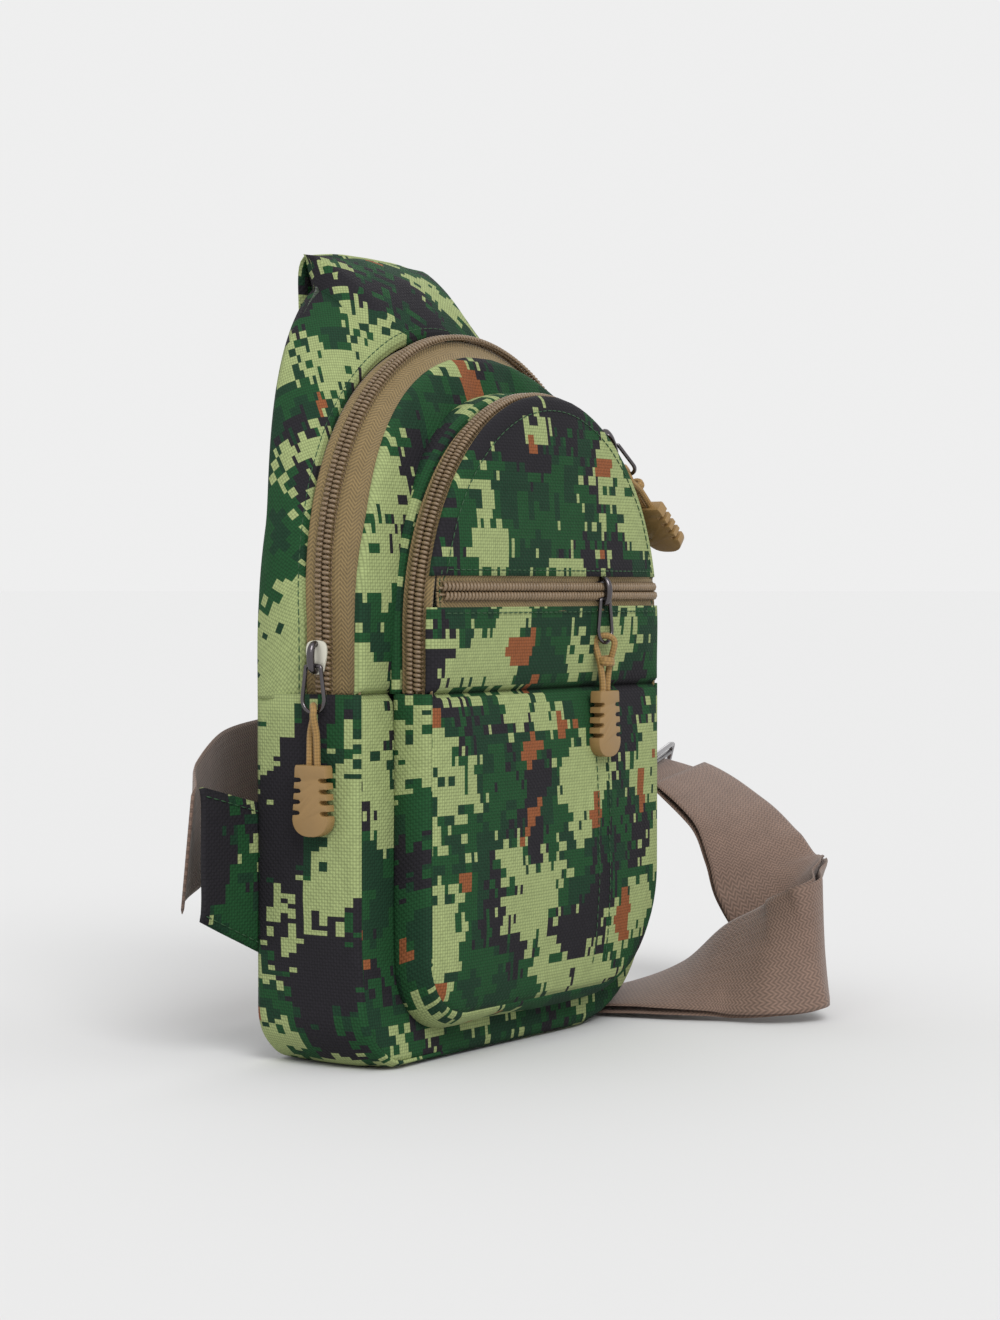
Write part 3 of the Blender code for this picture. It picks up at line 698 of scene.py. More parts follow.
def make_camera():
    turn = math.radians(CAMERA_TURN)
    right = Vector((math.cos(turn), math.sin(turn), 0))
    ahead = Vector((-math.sin(turn), math.cos(turn), 0))
    data = bpy.data.cameras.new("camera")
    data.sensor_fit = "HORIZONTAL"
    data.sensor_width = 36
    data.lens = CAMERA_LENS
    data.clip_start = 0.01
    camera = bpy.data.objects.new("camera", data)
    camera.location = -CAMERA_AWAY * ahead + CAMERA_SIDE * right + Vector((0, 0, CAMERA_HIGH))
    camera.rotation_euler = (math.radians(90 - CAMERA_TILT), 0, turn)
    bpy.context.collection.objects.link(camera)
    bpy.context.scene.camera = camera


make_camera()


# Strap

STRAP_ROUTE = [
    ((-0.120, 0.040, 0.078), (0.20, 0.00, 0.98)),
    ((-0.100, 0.052, 0.086), (0.10, 0.00, 0.99)),
    ((-0.060, 0.066, 0.096), (0.05, 0.10, 0.99)),
    ((0.000, 0.074, 0.101), (0.10, 0.30, 0.95)),
    ((0.060, 0.074, 0.103), (0.30, 0.55, 0.78)),
    ((0.116, 0.058, 0.103), (0.66, 0.62, 0.42)),
    ((0.152, 0.020, 0.099), (0.92, 0.36, 0.16)),
    ((0.161, -0.004, 0.092), (0.99, 0.06, 0.12)),
    ((0.159, -0.030, 0.077), (0.98, -0.08, 0.18)),
    ((0.156, -0.044, 0.063), (0.91, -0.20, 0.36)),
    ((0.153, -0.053, 0.0515), (0.78, -0.30, 0.55)),
    ((0.150, -0.063, 0.0435), (0.52, -0.32, 0.79)),
    ((0.143, -0.076, 0.0385), (0.20, -0.20, 0.96)),
    ((0.134, -0.087, 0.035), (-0.02, 0.00, 1.00)),
    ((0.121, -0.0965, 0.032), (0.04, 0.08, 1.00)),
    ((0.108, -0.0965, 0.029), (0.16, 0.14, 0.98)),
    ((0.100, -0.083, 0.0255), (0.40, 0.16, 0.90)),
    ((0.101, -0.062, 0.0205), (0.70, 0.18, 0.69)),
    ((0.098, -0.037, 0.0115), (0.94, 0.18, 0.28)),
    ((0.093, -0.008, 0.0055), (1.00, 0.08, 0.04)),
    ((0.090, 0.020, 0.0052), (1.00, 0.00, 0.00)),
    ((0.085, 0.044, 0.0125), (0.97, 0.03, 0.20)),
    ((0.072, 0.060, 0.026), (0.88, 0.03, 0.46)),
    ((0.044, 0.063, 0.048), (0.84, 0.00, 0.54)),
    ((0.017, 0.056, 0.067), (0.92, 0.00, 0.38)),
    ((0.002, 0.045, 0.086), (1.00, 0.00, 0.10)),
    ((0.000, 0.043, 0.097), (1.00, 0.00, 0.00)),
]
WEB_WIDE = 0.050
WEB_THICK = 0.0012
LAYERS = 0.0030  # from the middle of one layer to the middle of the other
BAND = (-1, -0.93, -0.6, -0.2, 0.2, 0.6, 0.93, 1)  # across a band, in half widths
GLIDE_STATION = 6
STRAP_STEPS = 12


def catmull(points, steps):
    """A smooth curve through the points."""
    ends = [2 * points[0] - points[1], *points, 2 * points[-1] - points[-2]]
    route = []
    for a, b, c, d in zip(ends, ends[1:], ends[2:], ends[3:]):
        for i in range(steps):
            t = i / steps
            square, cube = t * t, t * t * t
            bend = (2 * a - 5 * b + 4 * c - d) * square + (3 * b - a - 3 * c + d) * cube
            route.append((2 * b + (c - a) * t + bend) / 2)
    return route + [points[-1]]


def strap_frames(lift, first):
    """[(point, width direction, normal)] along the strap, lifted off its own face."""
    route = catmull([Vector(p) for p, _ in STRAP_ROUTE], STRAP_STEPS)
    across = catmull([Vector(w) for _, w in STRAP_ROUTE], STRAP_STEPS)
    frames = []
    for i, (point, wide) in enumerate(zip(route, across)):
        along = heading(route, i)
        wide = (wide - along * wide.dot(along)).normalized()
        normal = along.cross(wide)
        frames.append((point + normal * lift, wide, normal))
    return frames[first * STRAP_STEPS:]


def webbing_mesh(name, frames, half, thick):
    """A woven strap: a flat band with thin edges and a slight ripple, closed round its section."""
    face = [(t * half, thick / 2 * (0.25 if abs(t) == 1 else 1.0)) for t in BAND]
    section = face + [(w, -h) for w, h in reversed(face)]
    run = lengths([p for p, _, _ in frames])
    rows = []
    for i, (p, wide, normal) in enumerate(frames):
        ripple = 0.0005 * math.sin(run[i] * 55) + 0.0003 * math.sin(run[i] * 130 + 1)
        row = []
        for w, h in section:
            row.append(p + wide * w + normal * (h + ripple * (w / half)))
        rows.append(row)
    across_u = [w for w, _ in section] + [section[0][0]]
    mesh = sheet_mesh(name, rows, lambda i, j: (across_u[j] + 0.1, run[i]), close=True)
    close_ends(mesh)
    return mesh


def make_straps():
    outer = strap_frames(0.0, 0)
    inner = strap_frames(LAYERS, GLIDE_STATION + 1)
    at = GLIDE_STATION * STRAP_STEPS + STRAP_STEPS // 2
    for name, frames, node in (
        ("strap_outer", outer, "strap_webbing_outer"),
        ("strap_inner", inner, "strap_webbing_inner"),
    ):
        mesh = webbing_mesh(name, frames, WEB_WIDE / 2, WEB_THICK)
        new_piece(name, mesh, WEBBING, "root", [node])
    p, wide, normal = outer[at]
    loop_half = WEB_WIDE / 2 + 0.002
    near, far = -0.0031, 0.0069
    corners = [(-1, near), (1, near), (1, far), (-1, far)]
    line = []
    for (x0, y0), (x1, y1) in zip(corners, corners[1:] + corners[:1]):
        for k in range(1, 12):
            t = k / 12
            line.append(p + wide * loop_half * (x0 + (x1 - x0) * t) + normal * (y0 + (y1 - y0) * t))
    frame_piece = new_piece(
        "glide_frame", tube_mesh("glide_frame", line, 0.0012, 12, closed=True),
        STEEL, "root", ["tri_glide_frame"],
    )
    middle = p + normal * (WEB_THICK / 2 + 0.0024)
    reach = loop_half - 0.0014
    ends = [middle - wide * reach, middle, middle + wide * reach]
    bar_piece = new_piece(
        "glide_bar", tube_mesh("glide_bar", ends, 0.0012, 12), GUNMETAL, "root",
        ["tri_glide_bar"],
    )
    sewn = []
    for edge in (-1, 1):
        rows = outer[at + 6:at + 16]
        sewn.append([q + w * edge * 0.021 - n * 0.0008 for q, w, n in rows])
    rung = outer[at + 15]
    sewn.append([rung[0] + rung[1] * (0.021 * t / 10) - rung[2] * 0.0008 for t in range(-10, 11)])
    for i, line in enumerate(sewn):
        stitches(f"strap_stitch_{i}", line, "root", TAN_THREAD)
    path = [p for p, _, _ in outer]
    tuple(path[0])
    lengths(path)[-1]
    path = [p for p, _, _ in inner]
    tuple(path[0])
    lengths(path)[-1]


make_straps()


# Main shell

def zip_point(turn):
    """(x, z) on the left half of the main zip's arch."""
    return -HALF * math.cos(turn), ZIP_SPRING + (ZIP_TOP - ZIP_SPRING) * math.sin(turn)


def rear_lines(start):
    """The zip tape's rear edge and the back seam, point for point, from left to right."""
    cut = math.acos(NECK_HALF / HALF)
    counts = (12, 44, 8, 11)
    turn_a = math.radians(66)
    turn_b = math.radians(76)
    near, far = [], []
    for part, count in enumerate(counts):
        for i in range(count):
            t = i / count
            if part == 0:
                z0 = start + (ZIP_SPRING - start) * t
                z1 = start + (BACK_SPRING - start) * t
                near.append((-HALF, z0))
                far.append((-HALF, z1))
            elif part == 1:
                a, b = turn_a * t, cut * t
                near.append(zip_point(a))
                far.append((-HALF * math.cos(b), BACK_SPRING + BACK_RISE * math.sin(b)))
            elif part == 2:
                a = turn_a + (turn_b - turn_a) * t
                low = BACK_SPRING + BACK_RISE * math.sin(cut)
                near.append(zip_point(a))
                far.append((-NECK_HALF + 0.0005 * t, low + (NECK_TOP - low) * t))
            else:
                a = turn_b + (math.pi / 2 - turn_b) * t
                near.append(zip_point(a))
                far.append((-NECK_HALF * (1 - t), NECK_TOP + 0.001 * math.sin(t * math.pi / 2)))
    near.append((0, ZIP_TOP))
    far.append((0, NECK_TOP + 0.001))
    near += [(-x, z) for x, z in reversed(near[:-1])]
    far += [(-x, z) for x, z in reversed(far[:-1])]
    return (
        [Vector((x, zip_y(z) + 0.0085, z)) for x, z in near],
        [Vector((x, back_lean(z), z)) for x, z in far],
    )


def make_upper_gusset():
    near, far = rear_lines(SEAM - 0.002)

    def swell(s, t):
        top = 1 - min(abs(s - 0.5) / 0.2, 1)
        return 0.0022 + 0.0030 * top

    mesh, rows = loft(
        "gusset_upper_cloth", near, far, 18, swell, 3.0, uv_turn=math.radians(42),
        uv_shift=(0.31, 0.12), wrinkle=0.0008,
    )
    camo_piece("gusset_upper_cloth", mesh, "root", "upper_gusset")
    line = [row[1].lerp(row[2], 0.5) for row in rows]
    stitches("gusset_upper_stitch", line, "root")


def make_lower_gusset():
    line = under_line(HALF, 0.0, BASE_CORNERS, SEAM)
    rear = [Vector((x, BACK_Y, z)) for x, z in line]

    def front_edge(x, z):
        # the filled base bulges forward, most of all on the left
        low = 1 - min(z / 0.05, 1)
        return FRONT_Y - 0.007 * low * low * (0.4 + 0.6 * min(max(-x / HALF, 0), 1))

    front = [Vector((x, front_edge(x, z), z)) for x, z in line]

    mesh, _ = loft(
        "gusset_lower_cloth", front, rear, 22, lambda s, t: 0.0022, 8.0, uv_shift=(0.83, 0.4),
        wrinkle=0.0011, floor=0.0004,
    )
    piece = camo_piece("gusset_lower_cloth", mesh, None, "lower_gusset")
    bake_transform(piece)


def make_front_panels():
    def depth_low(z):
        low = 1 - min(z / 0.05, 1)
        return FRONT_Y - 0.0052 * low * low

    mesh, _ = face_panel(
        "panel_lower_cloth", MAIN, 0.0006, SEAM, depth_low, lambda x, z: 0.0025, 12.0, 44, 60,
        uv_shift=(1.7, 0.6),
    )
    piece = camo_piece("panel_lower_cloth", mesh, None, "front_panel_lower")
    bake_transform(piece)

    def bulge_high(x, z):
        top = min(max((z - 0.225) / 0.03, 0), 1)
        return 0.0030 + 0.0016 * top * math.sin(x * 260 + 1)

    mesh, _ = face_panel(
        "panel_upper_cloth", MAIN, SEAM, FRONT_TOP - 0.0004, front_y, bulge_high, 17.0, 60, 60,
        uv_shift=(1.7, 0.6), wrinkle=0.0011,
    )
    camo_piece("panel_upper_cloth", mesh, "main_flap", "front_panel_upper")


def arch_frames(half, spring, top, start, depth, inset, count):
    """Points along an arch at the depth given by height, and the outward normal at each."""
    line = over_line(half - inset, spring, top - inset, start)
    points = resample([Vector((x, depth(z), z)) for x, z in line], count)
    normals = []
    for i in range(count):
        along = heading(points, i)
        normals.append(Vector((-along.z, 0, along.x)).normalized())
    return points, normals


def tape_piece(name, first, second, body, node, sag, steps=8):
    """A zip tape between two lines of points. u runs across it and v along."""
    run = lengths(first)
    rows = []
    for i, (a, b) in enumerate(zip(first, second)):
        row = []
        for k in range(steps + 1):
            t = k / steps
            p = a.lerp(b, t)
            inward = Vector((-p.x, 0, 0.15 - p.z)).normalized()
            wave = 0.0004 * math.sin(run[i] * 90 + 2 * t)
            row.append(p + inward * (sag * math.sin(math.pi * t) + wave * t * (1 - t) * 3))
        rows.append(row)
    widths = [lengths(row) for row in rows]
    mesh = sheet_mesh(name, rows, lambda i, j: (widths[i][j], run[i]))

    def inwards(faces):
        face = faces[len(faces) // 8]
        centre = face.calc_center_median()
        return face.normal.dot(centre - Vector((0, centre.y, 0.15))) < 0

    turn_out(mesh, inwards)
    thicken(mesh, TAPE_THICK)
    return new_piece(name, mesh, ZIP_TAPE, body, [node])


def tooth(p, along, across, out, side):
    """One turn of the coil on one side of the zip's middle line."""
    profile = [(0.0002, 0.0010), (0.0008, 0.0018), (0.0018, 0.0021), (0.0028, 0.0016), (0.0032, 0.0006)]
    line = []
    for i, (reach, high) in enumerate(profile):
        skew = 0.00016 * (i - 2) * side
        line.append(p + across * side * reach + out * high + along * skew)
    return line


def coil_pieces(points, outs, across, names, bodies, nodes):
    """Both halves of a coil along evenly spaced points."""
    for side, name, body, node in zip((1, -1), names, bodies, nodes):
        rows = []
        for i in range(1, len(points) - 1):
            along = (points[i + 1] - points[i - 1]).normalized()
            p = points[i] + along * (TOOTH / 2 if side < 0 else 0)
            rows.append(tooth(p, along, across, outs[i], side))
        core = [p + across * side * 0.0012 + o * 0.0009 for p, o in zip(points, outs)]
        meshes = [bars(name, rows, 0.00070, 6), tube_mesh(name + "_core", core, 0.0005, 6)]
        sewn = []
        for i in range(0, len(points) - 1):
            a = points[i].lerp(points[i + 1], 0.15) + across * side * 0.0036 + outs[i] * 0.00055
            b = points[i].lerp(points[i + 1], 0.85) + across * side * 0.0036 + outs[i] * 0.00055
            sewn.append([a, (a + b) / 2 + outs[i] * 0.0001, b])
        new_piece(name, join_meshes(name, meshes), ZIP_COIL, body, [node])
        new_piece(name + "_thread", bars(name + "_t", sewn, 0.00026, 4), TAN_THREAD, body)


def make_main_zip():
    start = SEAM - 0.001
    inset = 0.0015
    count = int(0.40 / TOOTH)
    middle, outs = arch_frames(HALF, ZIP_SPRING, ZIP_TOP, start, zip_y, inset, count)
    rear = moved(middle, 0.0093)
    tape_piece(
        "main_tape_rear", moved(middle, ZIP_GAP), rear, "root",
        "main_zip_tape_rear", 0.0006,
    )
    line = over_line(HALF - inset, ZIP_SPRING, FRONT_TOP - inset, start)
    front = resample([Vector((x, front_y(z) + 0.0012, z)) for x, z in line], count)
    tape_piece(
        "main_tape_front", moved(middle, -ZIP_GAP), front, "main_flap",
        "main_zip_tape_front", 0.0012, steps=12,
    )
    coil_pieces(
        middle, outs, Vector((0, 1, 0)), ("main_coil_rear", "main_coil_front"),
        ("root", "main_flap"), ("main_zip_coil_rear", "main_zip_coil_front"),
    )


def skin_point(piece, x, z):
    """Where the face of a front piece lies at (x, z)."""
    hit, place, _, _ = piece.ray_cast(Vector((x, -0.2, z)), Vector((0, 1, 0)))
    return place - Vector((0, 0.0002, 0)) if hit else Vector((x, POCKET_Y, z))


def make_pocket():
    start = SEAM - 0.001
    inset = 0.0015

    def level(y):
        return lambda z: y

    line = over_line(POCKET_HALF, POCKET_SPRING, POCKET_TOP, SEAM)
    rear = [Vector((x, front_y(z) + 0.001, z)) for x, z in line]
    near = [Vector((x, POCKET_ZIP_Y + 0.0060, z)) for x, z in line]
    mesh, _ = loft(
        "pocket_gusset_upper_cloth", near, rear, 8, lambda s, t: 0.0012, 21.0,
        uv_shift=(0.2, 1.9), wrinkle=0.0004,
    )
    camo_piece("pocket_gusset_upper_cloth", mesh, "main_flap", "pocket_gusset_upper")
    line = under_line(POCKET_HALF, POCKET_BOTTOM, POCKET_CORNERS, SEAM)
    rear = [Vector((x, FRONT_Y - 0.0005 - 0.004 * (1 - min(z / 0.05, 1)) ** 2, z)) for x, z in line]
    front_line = under_line(POCKET_HALF, POCKET_BOTTOM + 0.006, POCKET_CORNERS, SEAM)
    front = [Vector((x, POCKET_Y, z)) for x, z in front_line]
    mesh, _ = loft(
        "pocket_gusset_lower_cloth", front, rear, 14, lambda s, t: 0.0016, 25.0,
        uv_shift=(0.5, 2.3), wrinkle=0.0008,
    )
    piece = camo_piece("pocket_gusset_lower_cloth", mesh, None, "pocket_gusset_lower")
    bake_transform(piece)

    count = int(0.365 / TOOTH)
    depth = level(POCKET_ZIP_Y)
    middle, outs = arch_frames(POCKET_HALF, POCKET_SPRING, POCKET_TOP, start, depth, inset, count)
    tape_piece(
        "pocket_tape_rear", moved(middle, ZIP_GAP),
        moved(middle, 0.0068), "main_flap", "pocket_zip_tape_rear", 0.0004,
    )
    front = [p - Vector((0, 0.0066, 0)) - o * 0.0004 for p, o in zip(middle, outs)]
    tape_piece(
        "pocket_tape_front", moved(middle, -ZIP_GAP), front, "pocket_flap",
        "pocket_zip_tape_front", 0.0002,
    )
    coil_pieces(
        middle, outs, Vector((0, 1, 0)), ("pocket_coil_rear", "pocket_coil_front"),
        ("main_flap", "pocket_flap"), ("pocket_zip_coil_rear", "pocket_zip_coil_front"),
    )

    def bulge(x, z):
        pleat = 0.0011 * math.exp(-((x - 0.031) / 0.003) ** 2) if z < SLIP_Z else 0
        return 0.0050 - pleat

    low = (POCKET_HALF, POCKET_SPRING, POCKET_TOP, POCKET_BOTTOM + 0.006, POCKET_CORNERS)
    slip_low = SLIP_Z - TAPE_HIGH
    slip_high = SLIP_Z + TAPE_HIGH
    mesh, _ = face_panel(
        "pocket_face_lower_cloth", low, POCKET_BOTTOM + 0.0066, SEAM, level(POCKET_Y), bulge, 31.0,
        52, 72, uv_shift=(2.9, 0.3), wrinkle=0.0009,
    )
    piece = camo_piece("pocket_face_lower_cloth", mesh, None, "pocket_face_lower")
    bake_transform(piece)
    for i, x in enumerate((0.0265, 0.0355)):
        line = [skin_point(piece, x, 0.028 + 0.096 * k / 60) for k in range(61)]
        stitches(f"pleat_stitch_{i}", line, "root")
    mesh, grid = face_panel(
        "pocket_face_middle_cloth", POCKET, SEAM, slip_low + 0.001, level(POCKET_Y), bulge, 31.0,
        14, 72, uv_shift=(2.9, 0.3), wrinkle=0.0009,
    )
    piece = camo_piece("pocket_face_middle_cloth", mesh, None, "pocket_face_middle")
    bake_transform(piece)
    stitches("slip_stitch_lower", moved(grid[-1], -0.0003, -0.0022)[6:-6], "pocket_flap")
    mesh, grid = face_panel(
        "pocket_face_top_cloth", POCKET, slip_high - 0.001, POCKET_TOP - 0.0004, level(POCKET_Y),
        bulge, 37.0, 40, 72, uv_shift=(3.1, 0.9), wrinkle=0.0009,
    )
    piece = camo_piece("pocket_face_top_cloth", mesh, "pocket_flap", "pocket_face_top")
    line = over_line(POCKET_HALF - 0.006, POCKET_SPRING, POCKET_TOP - 0.006, slip_high + 0.001)
    stitches("arch_stitch", [skin_point(piece, x, z) for x, z in line], "pocket_flap")
    stitches("slip_stitch_upper", moved(grid[0], -0.0003, 0.0022)[6:-6], "pocket_flap")
    make_slip_zip(bulge)


def make_slip_zip(bulge):
    """The straight zip across the pocket's face."""
    count = int(2 * SLIP_HALF / TOOTH)

    def skin(x):
        return POCKET_Y + 0.0016 - bulge(x, SLIP_Z + 0.01) * (1 - math.exp(-(POCKET_HALF - abs(x)) / 0.018))

    xs = [-SLIP_HALF + 2 * SLIP_HALF * i / count for i in range(count + 1)]
    middle = [Vector((x, skin(x), SLIP_Z)) for x in xs]
    for side, name in ((1, "upper"), (-1, "lower")):
        rows = []
        for p in middle:
            row = []
            for k in range(9):
                t = k / 8
                row.append(p + Vector((0, -0.0006 * t * t, side * (ZIP_GAP + (TAPE_HIGH + 0.0006) * t))))
            rows.append(row if side < 0 else row[::-1])
        widths = [lengths(row) for row in rows]
        mesh = sheet_mesh(name, rows, lambda i, j: (widths[i][j], xs[i]))
        turn_out(mesh, lambda faces: faces[10].normal.y > 0)
        thicken(mesh, TAPE_THICK)
        new_piece(f"slip_tape_{name}", mesh, ZIP_TAPE, "pocket_flap",
                  [f"slip_zip_tape_{name}"])
    outs = [Vector((0, -1, 0))] * len(middle)
    coil_pieces(
        middle, outs, Vector((0, 0, 1)), ("slip_coil_upper", "slip_coil_lower"),
        ("pocket_flap", "pocket_flap"), ("slip_zip_coil_upper", "slip_zip_coil_lower"),
    )
    low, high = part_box("slip_pocket_lining")
    rows = []
    for i in range(13):
        z = low[2] + (high[2] - low[2]) * i / 12
        y = (low[1] + high[1]) / 2
        rows.append([
            Vector((low[0] + (high[0] - low[0]) * j / 24, y + 0.0004 * math.sin(j * 0.9 + i * 0.4), z))
            for j in range(25)
        ])
    mesh = sheet_mesh("slip_bag", rows, lambda i, j: (rows[i][j].x, rows[i][j].z), 0.0005)
    new_piece("slip_bag", mesh, LINING, "pocket_flap", ["slip_pocket_lining"])


# Back, pad, tab and wing

def make_back():
    """The padded back: knit over foam, sewn into three channels."""
    rows = 64
    columns = 44
    grid = []
    for side in (1, -1):
        layer = []
        for i in range(rows + 1):
            z = 0.0015 + (NECK_TOP - 0.008) * i / rows
            if z > BACK_SPRING:
                rise = (z - BACK_SPRING) / BACK_RISE
                half = HALF * math.sqrt(max(1 - rise ** 2, 0)) if z < 0.304 else 0
                x0, x1 = -max(half, NECK_HALF), max(half, NECK_HALF)
            else:
                x0, x1 = span(HALF, BACK_SPRING, BACK_SPRING + BACK_RISE, 0.0, BASE_CORNERS, z)
            row = []
            for j in range(columns + 1):
                t = j / columns
                x = x0 + 0.0012 + (x1 - x0 - 0.0024) * t
                edge = min(x - x0, x1 - x, z, NECK_TOP - z + 0.004)
                crown = 1 - math.exp(-edge / 0.008)
                channel = 0.6 * math.exp(-((abs(x) - BACK_SEWN) / 0.0028) ** 2) if z < 0.255 else 0
                if side > 0:
                    out = -0.0022 + 0.0030 * crown * (1 - channel)
                else:
                    out = -0.0022 - 0.0050 * crown
                row.append(Vector((x, back_lean(z) + out, z)))
            layer.append(row)
        grid.append(layer)
    front, rear = grid[1], grid[0]
    ring = [[*a, *reversed(b)] for a, b in zip(front, rear)]
    mesh = sheet_mesh("back_cloth", ring, lambda i, j: (
        ring[i][j % len(ring[i])].x, ring[i][j % len(ring[i])].z), close=True)
    close_ends(mesh)
    piece = new_piece("back_cloth", mesh, KNIT, "root", ["back_panel", "back_foam"])
    for sign, side in ((-1, "left"), (1, "right")):
        heights = np.linspace(0.012, 0.25, 60)
        line = [Vector((sign * BACK_SEWN, back_lean(z) - 0.0006, z)) for z in heights]
        stitches(f"back_stitch_{side}", line, "root")


PAD_ROUTE = [
    (0.0440, 0.2910), (0.0445, 0.2980), (0.0462, 0.3035), (0.0488, 0.3058), (0.0514, 0.3035),
    (0.0528, 0.2980), (0.0530, 0.2860), (0.0525, 0.2600), (0.0510, 0.2300), (0.0490, 0.2000),
    (0.0465, 0.1700), (0.0445, 0.1450), (0.0435, 0.1300),
]


def make_pad():
    """The padded shoulder piece that folds back over the top, crowned between its edges."""
    route = resample(catmull([Vector((0, y, z)) for y, z in PAD_ROUTE], 8), 90)
    run = lengths(route)
    section = 28
    rows = []
    for i, p in enumerate(route):
        s = run[i] / run[-1]
        along = heading(route, i)
        wide = Vector((1, 0, 0))
        normal = along.cross(wide)
        half = 0.038 + (0.030 - 0.038) * s
        end = min(1 - s, s) * run[-1]
        cap = math.sqrt(1 - (1 - min(end / 0.004, 1)) ** 2) * 0.85 + 0.15
        thick = (0.0030 + 0.0022 * min(2 * max(s - 0.25, 0), 1)) * cap
        row = []
        for k in range(section):
            turn = 2 * math.pi * k / section
            c, d = math.cos(turn), math.sin(turn)
            x = half * math.copysign(abs(c) ** 0.55, c)
            y = thick * math.copysign(abs(d) ** 0.9, d) * (0.35 + 0.65 * (1 - abs(x / half) ** 5))
            y += 0.0004 * crease((x, 0, run[i]), 40, 4.0)
            row.append(p + wide * x + normal * y)
        rows.append(row)
    rows = [[rows[0][0].lerp(rows[0][section // 2], 0.5)] * section] + rows
    rows.append([rows[-1][0].lerp(rows[-1][section // 2], 0.5)] * section)
    run = [0, *run, run[-1]]
    mesh = sheet_mesh("pad_cloth", rows, lambda i, j: (
        rows[i][j % section].x + 4.1, run[i] + (0.5 if j % section > section // 2 else 0)), close=True)
    weld(mesh)
    mesh.shade_smooth()
    piece = camo_piece("pad_cloth", mesh, "root", "shoulder_pad")


def make_tab_and_ring():
    low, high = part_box("pad_tab")
    y = (low[1] + high[1]) / 2
    frames = [
        (Vector((0, y, z)), Vector((1, 0, 0)), Vector((0, 1, 0)))
        for z in np.linspace(low[2], high[2] + 0.004, 12)
    ]
    mesh = webbing_mesh("tab_cloth", frames, (high[0] - low[0]) / 2, 0.0026)
    new_piece("tab_cloth", mesh, WEBBING, "root", ["pad_tab"])
    rows = [[Vector((x, y + 0.0015, z)) for x in np.linspace(-0.022, 0.022, 20)]
            for z in (low[2] + 0.004, low[2] + 0.011)]
    for i, line in enumerate(rows):
        stitches(f"tab_stitch_{i}", line, "root", TAN_THREAD)
    low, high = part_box("strap_ring")
    radius = (high[1] - low[1]) / 2
    x0, x1 = low[0] + radius, high[0] - radius
    z0, z1 = low[2] + radius, high[2] - radius
    y = (low[1] + high[1]) / 2
    corners = [(x0, z1), (x1, z1), (x1, z0), (x0, z0)]
    line = []
    for (a, b), (c, d) in zip(corners, corners[1:] + corners[:1]):
        reach = math.hypot(c - a, d - b)
        for t in np.linspace(0.0015 / reach, 1 - 0.0015 / reach, 10):
            line.append(Vector((a + (c - a) * t, y, b + (d - b) * t)))
    mesh = tube_mesh("ring_metal", line, radius, 12, closed=True)
    new_piece("ring_metal", mesh, GUNMETAL, "root", ["strap_ring"])


def make_wing():
    """The cloth triangle over the strap's end, with its edges turned in and sewn."""
    seam_x, seam_y = -HALF + 0.0025, BACK_Y + 0.0003
    tip = Vector(STRAP_ROUTE[0][0]) + Vector((-0.004, -0.0105, 0))
    rows = []
    for i in range(25):
        t = i / 24
        row = []
        for j in range(17):
            s = j / 16
            a = Vector((seam_x, seam_y, 0.040 + 0.056 * s))
            b = tip + Vector((0, 0, 0.050 * (s - 0.5)))
            p = a.lerp(b, t)
            edge = min(s, 1 - s) * 0.05
            p.y -= 0.0012 * (1 - math.exp(-edge / 0.004)) + 0.0006 * crease(p, 60, 2.2)
            row.append(p)
        rows.append(row)
    mesh = sheet_mesh("wing_cloth", rows, lambda i, j: (rows[i][j].x + 5.3, rows[i][j].z + 0.7), 0.0022)
    camo_piece("wing_cloth", mesh, "root", "left_wing")
    for s, name in ((1, "low"), (15, "high")):
        line = [row[s] + Vector((0, -0.0003, 0)) for row in rows]
        stitches(f"wing_stitch_{name}", line, "root")


# Pulls

CORD_RADIUS = 0.0013


def smooth_prism(name, outline, low, high, round_by, matrix):
    """An outline of (x, z) points made thick along y, with its edges rounded."""
    count = len(outline)
    shape = bmesh.new()
    rings = []
    normals = []
    for i in range(count):
        a = Vector((*outline[i - 1],))
        b = Vector((*outline[(i + 1) % count],))
        along = (b - a).normalized()
        normals.append(Vector((along.y, 0, -along.x)))
    area = sum(outline[i - 1][0] * outline[i][1] - outline[i][0] * outline[i - 1][1] for i in range(count))
    flip = 1 if area > 0 else -1
    for y, inset in ((low, round_by), (low + round_by * 0.3, round_by * 0.3), (low + round_by, 0),
                     (high - round_by, 0), (high - round_by * 0.3, round_by * 0.3), (high, round_by)):
        ring = []
        for (x, z), n in zip(outline, normals):
            p = Vector((x, y, z)) - n * inset * flip
            ring.append(shape.verts.new(p))
        rings.append(ring)
    for a, b in zip(rings, rings[1:]):
        for i in range(count):
            j = (i + 1) % count
            shape.faces.new((a[i], a[j], b[j], b[i]))
    shape.faces.new(rings[0])
    shape.faces.new(rings[-1][::-1])
    bmesh.ops.recalc_face_normals(shape, faces=shape.faces)
    mesh = bpy.data.meshes.new(name)
    shape.to_mesh(mesh)
    shape.free()
    mesh.transform(matrix)
    mesh.shade_smooth()
    mesh.set_sharp_from_angle(angle=math.radians(40))
    return mesh


def rounded(points):
    """A closed outline with its corners smoothed."""
    for _ in range(2):
        out = []
        for a, b in zip(points, points[1:] + points[:1]):
            out.append((a[0] * 0.75 + b[0] * 0.25, a[1] * 0.75 + b[1] * 0.25))
            out.append((a[0] * 0.25 + b[0] * 0.75, a[1] * 0.25 + b[1] * 0.75))
        points = out
    return points


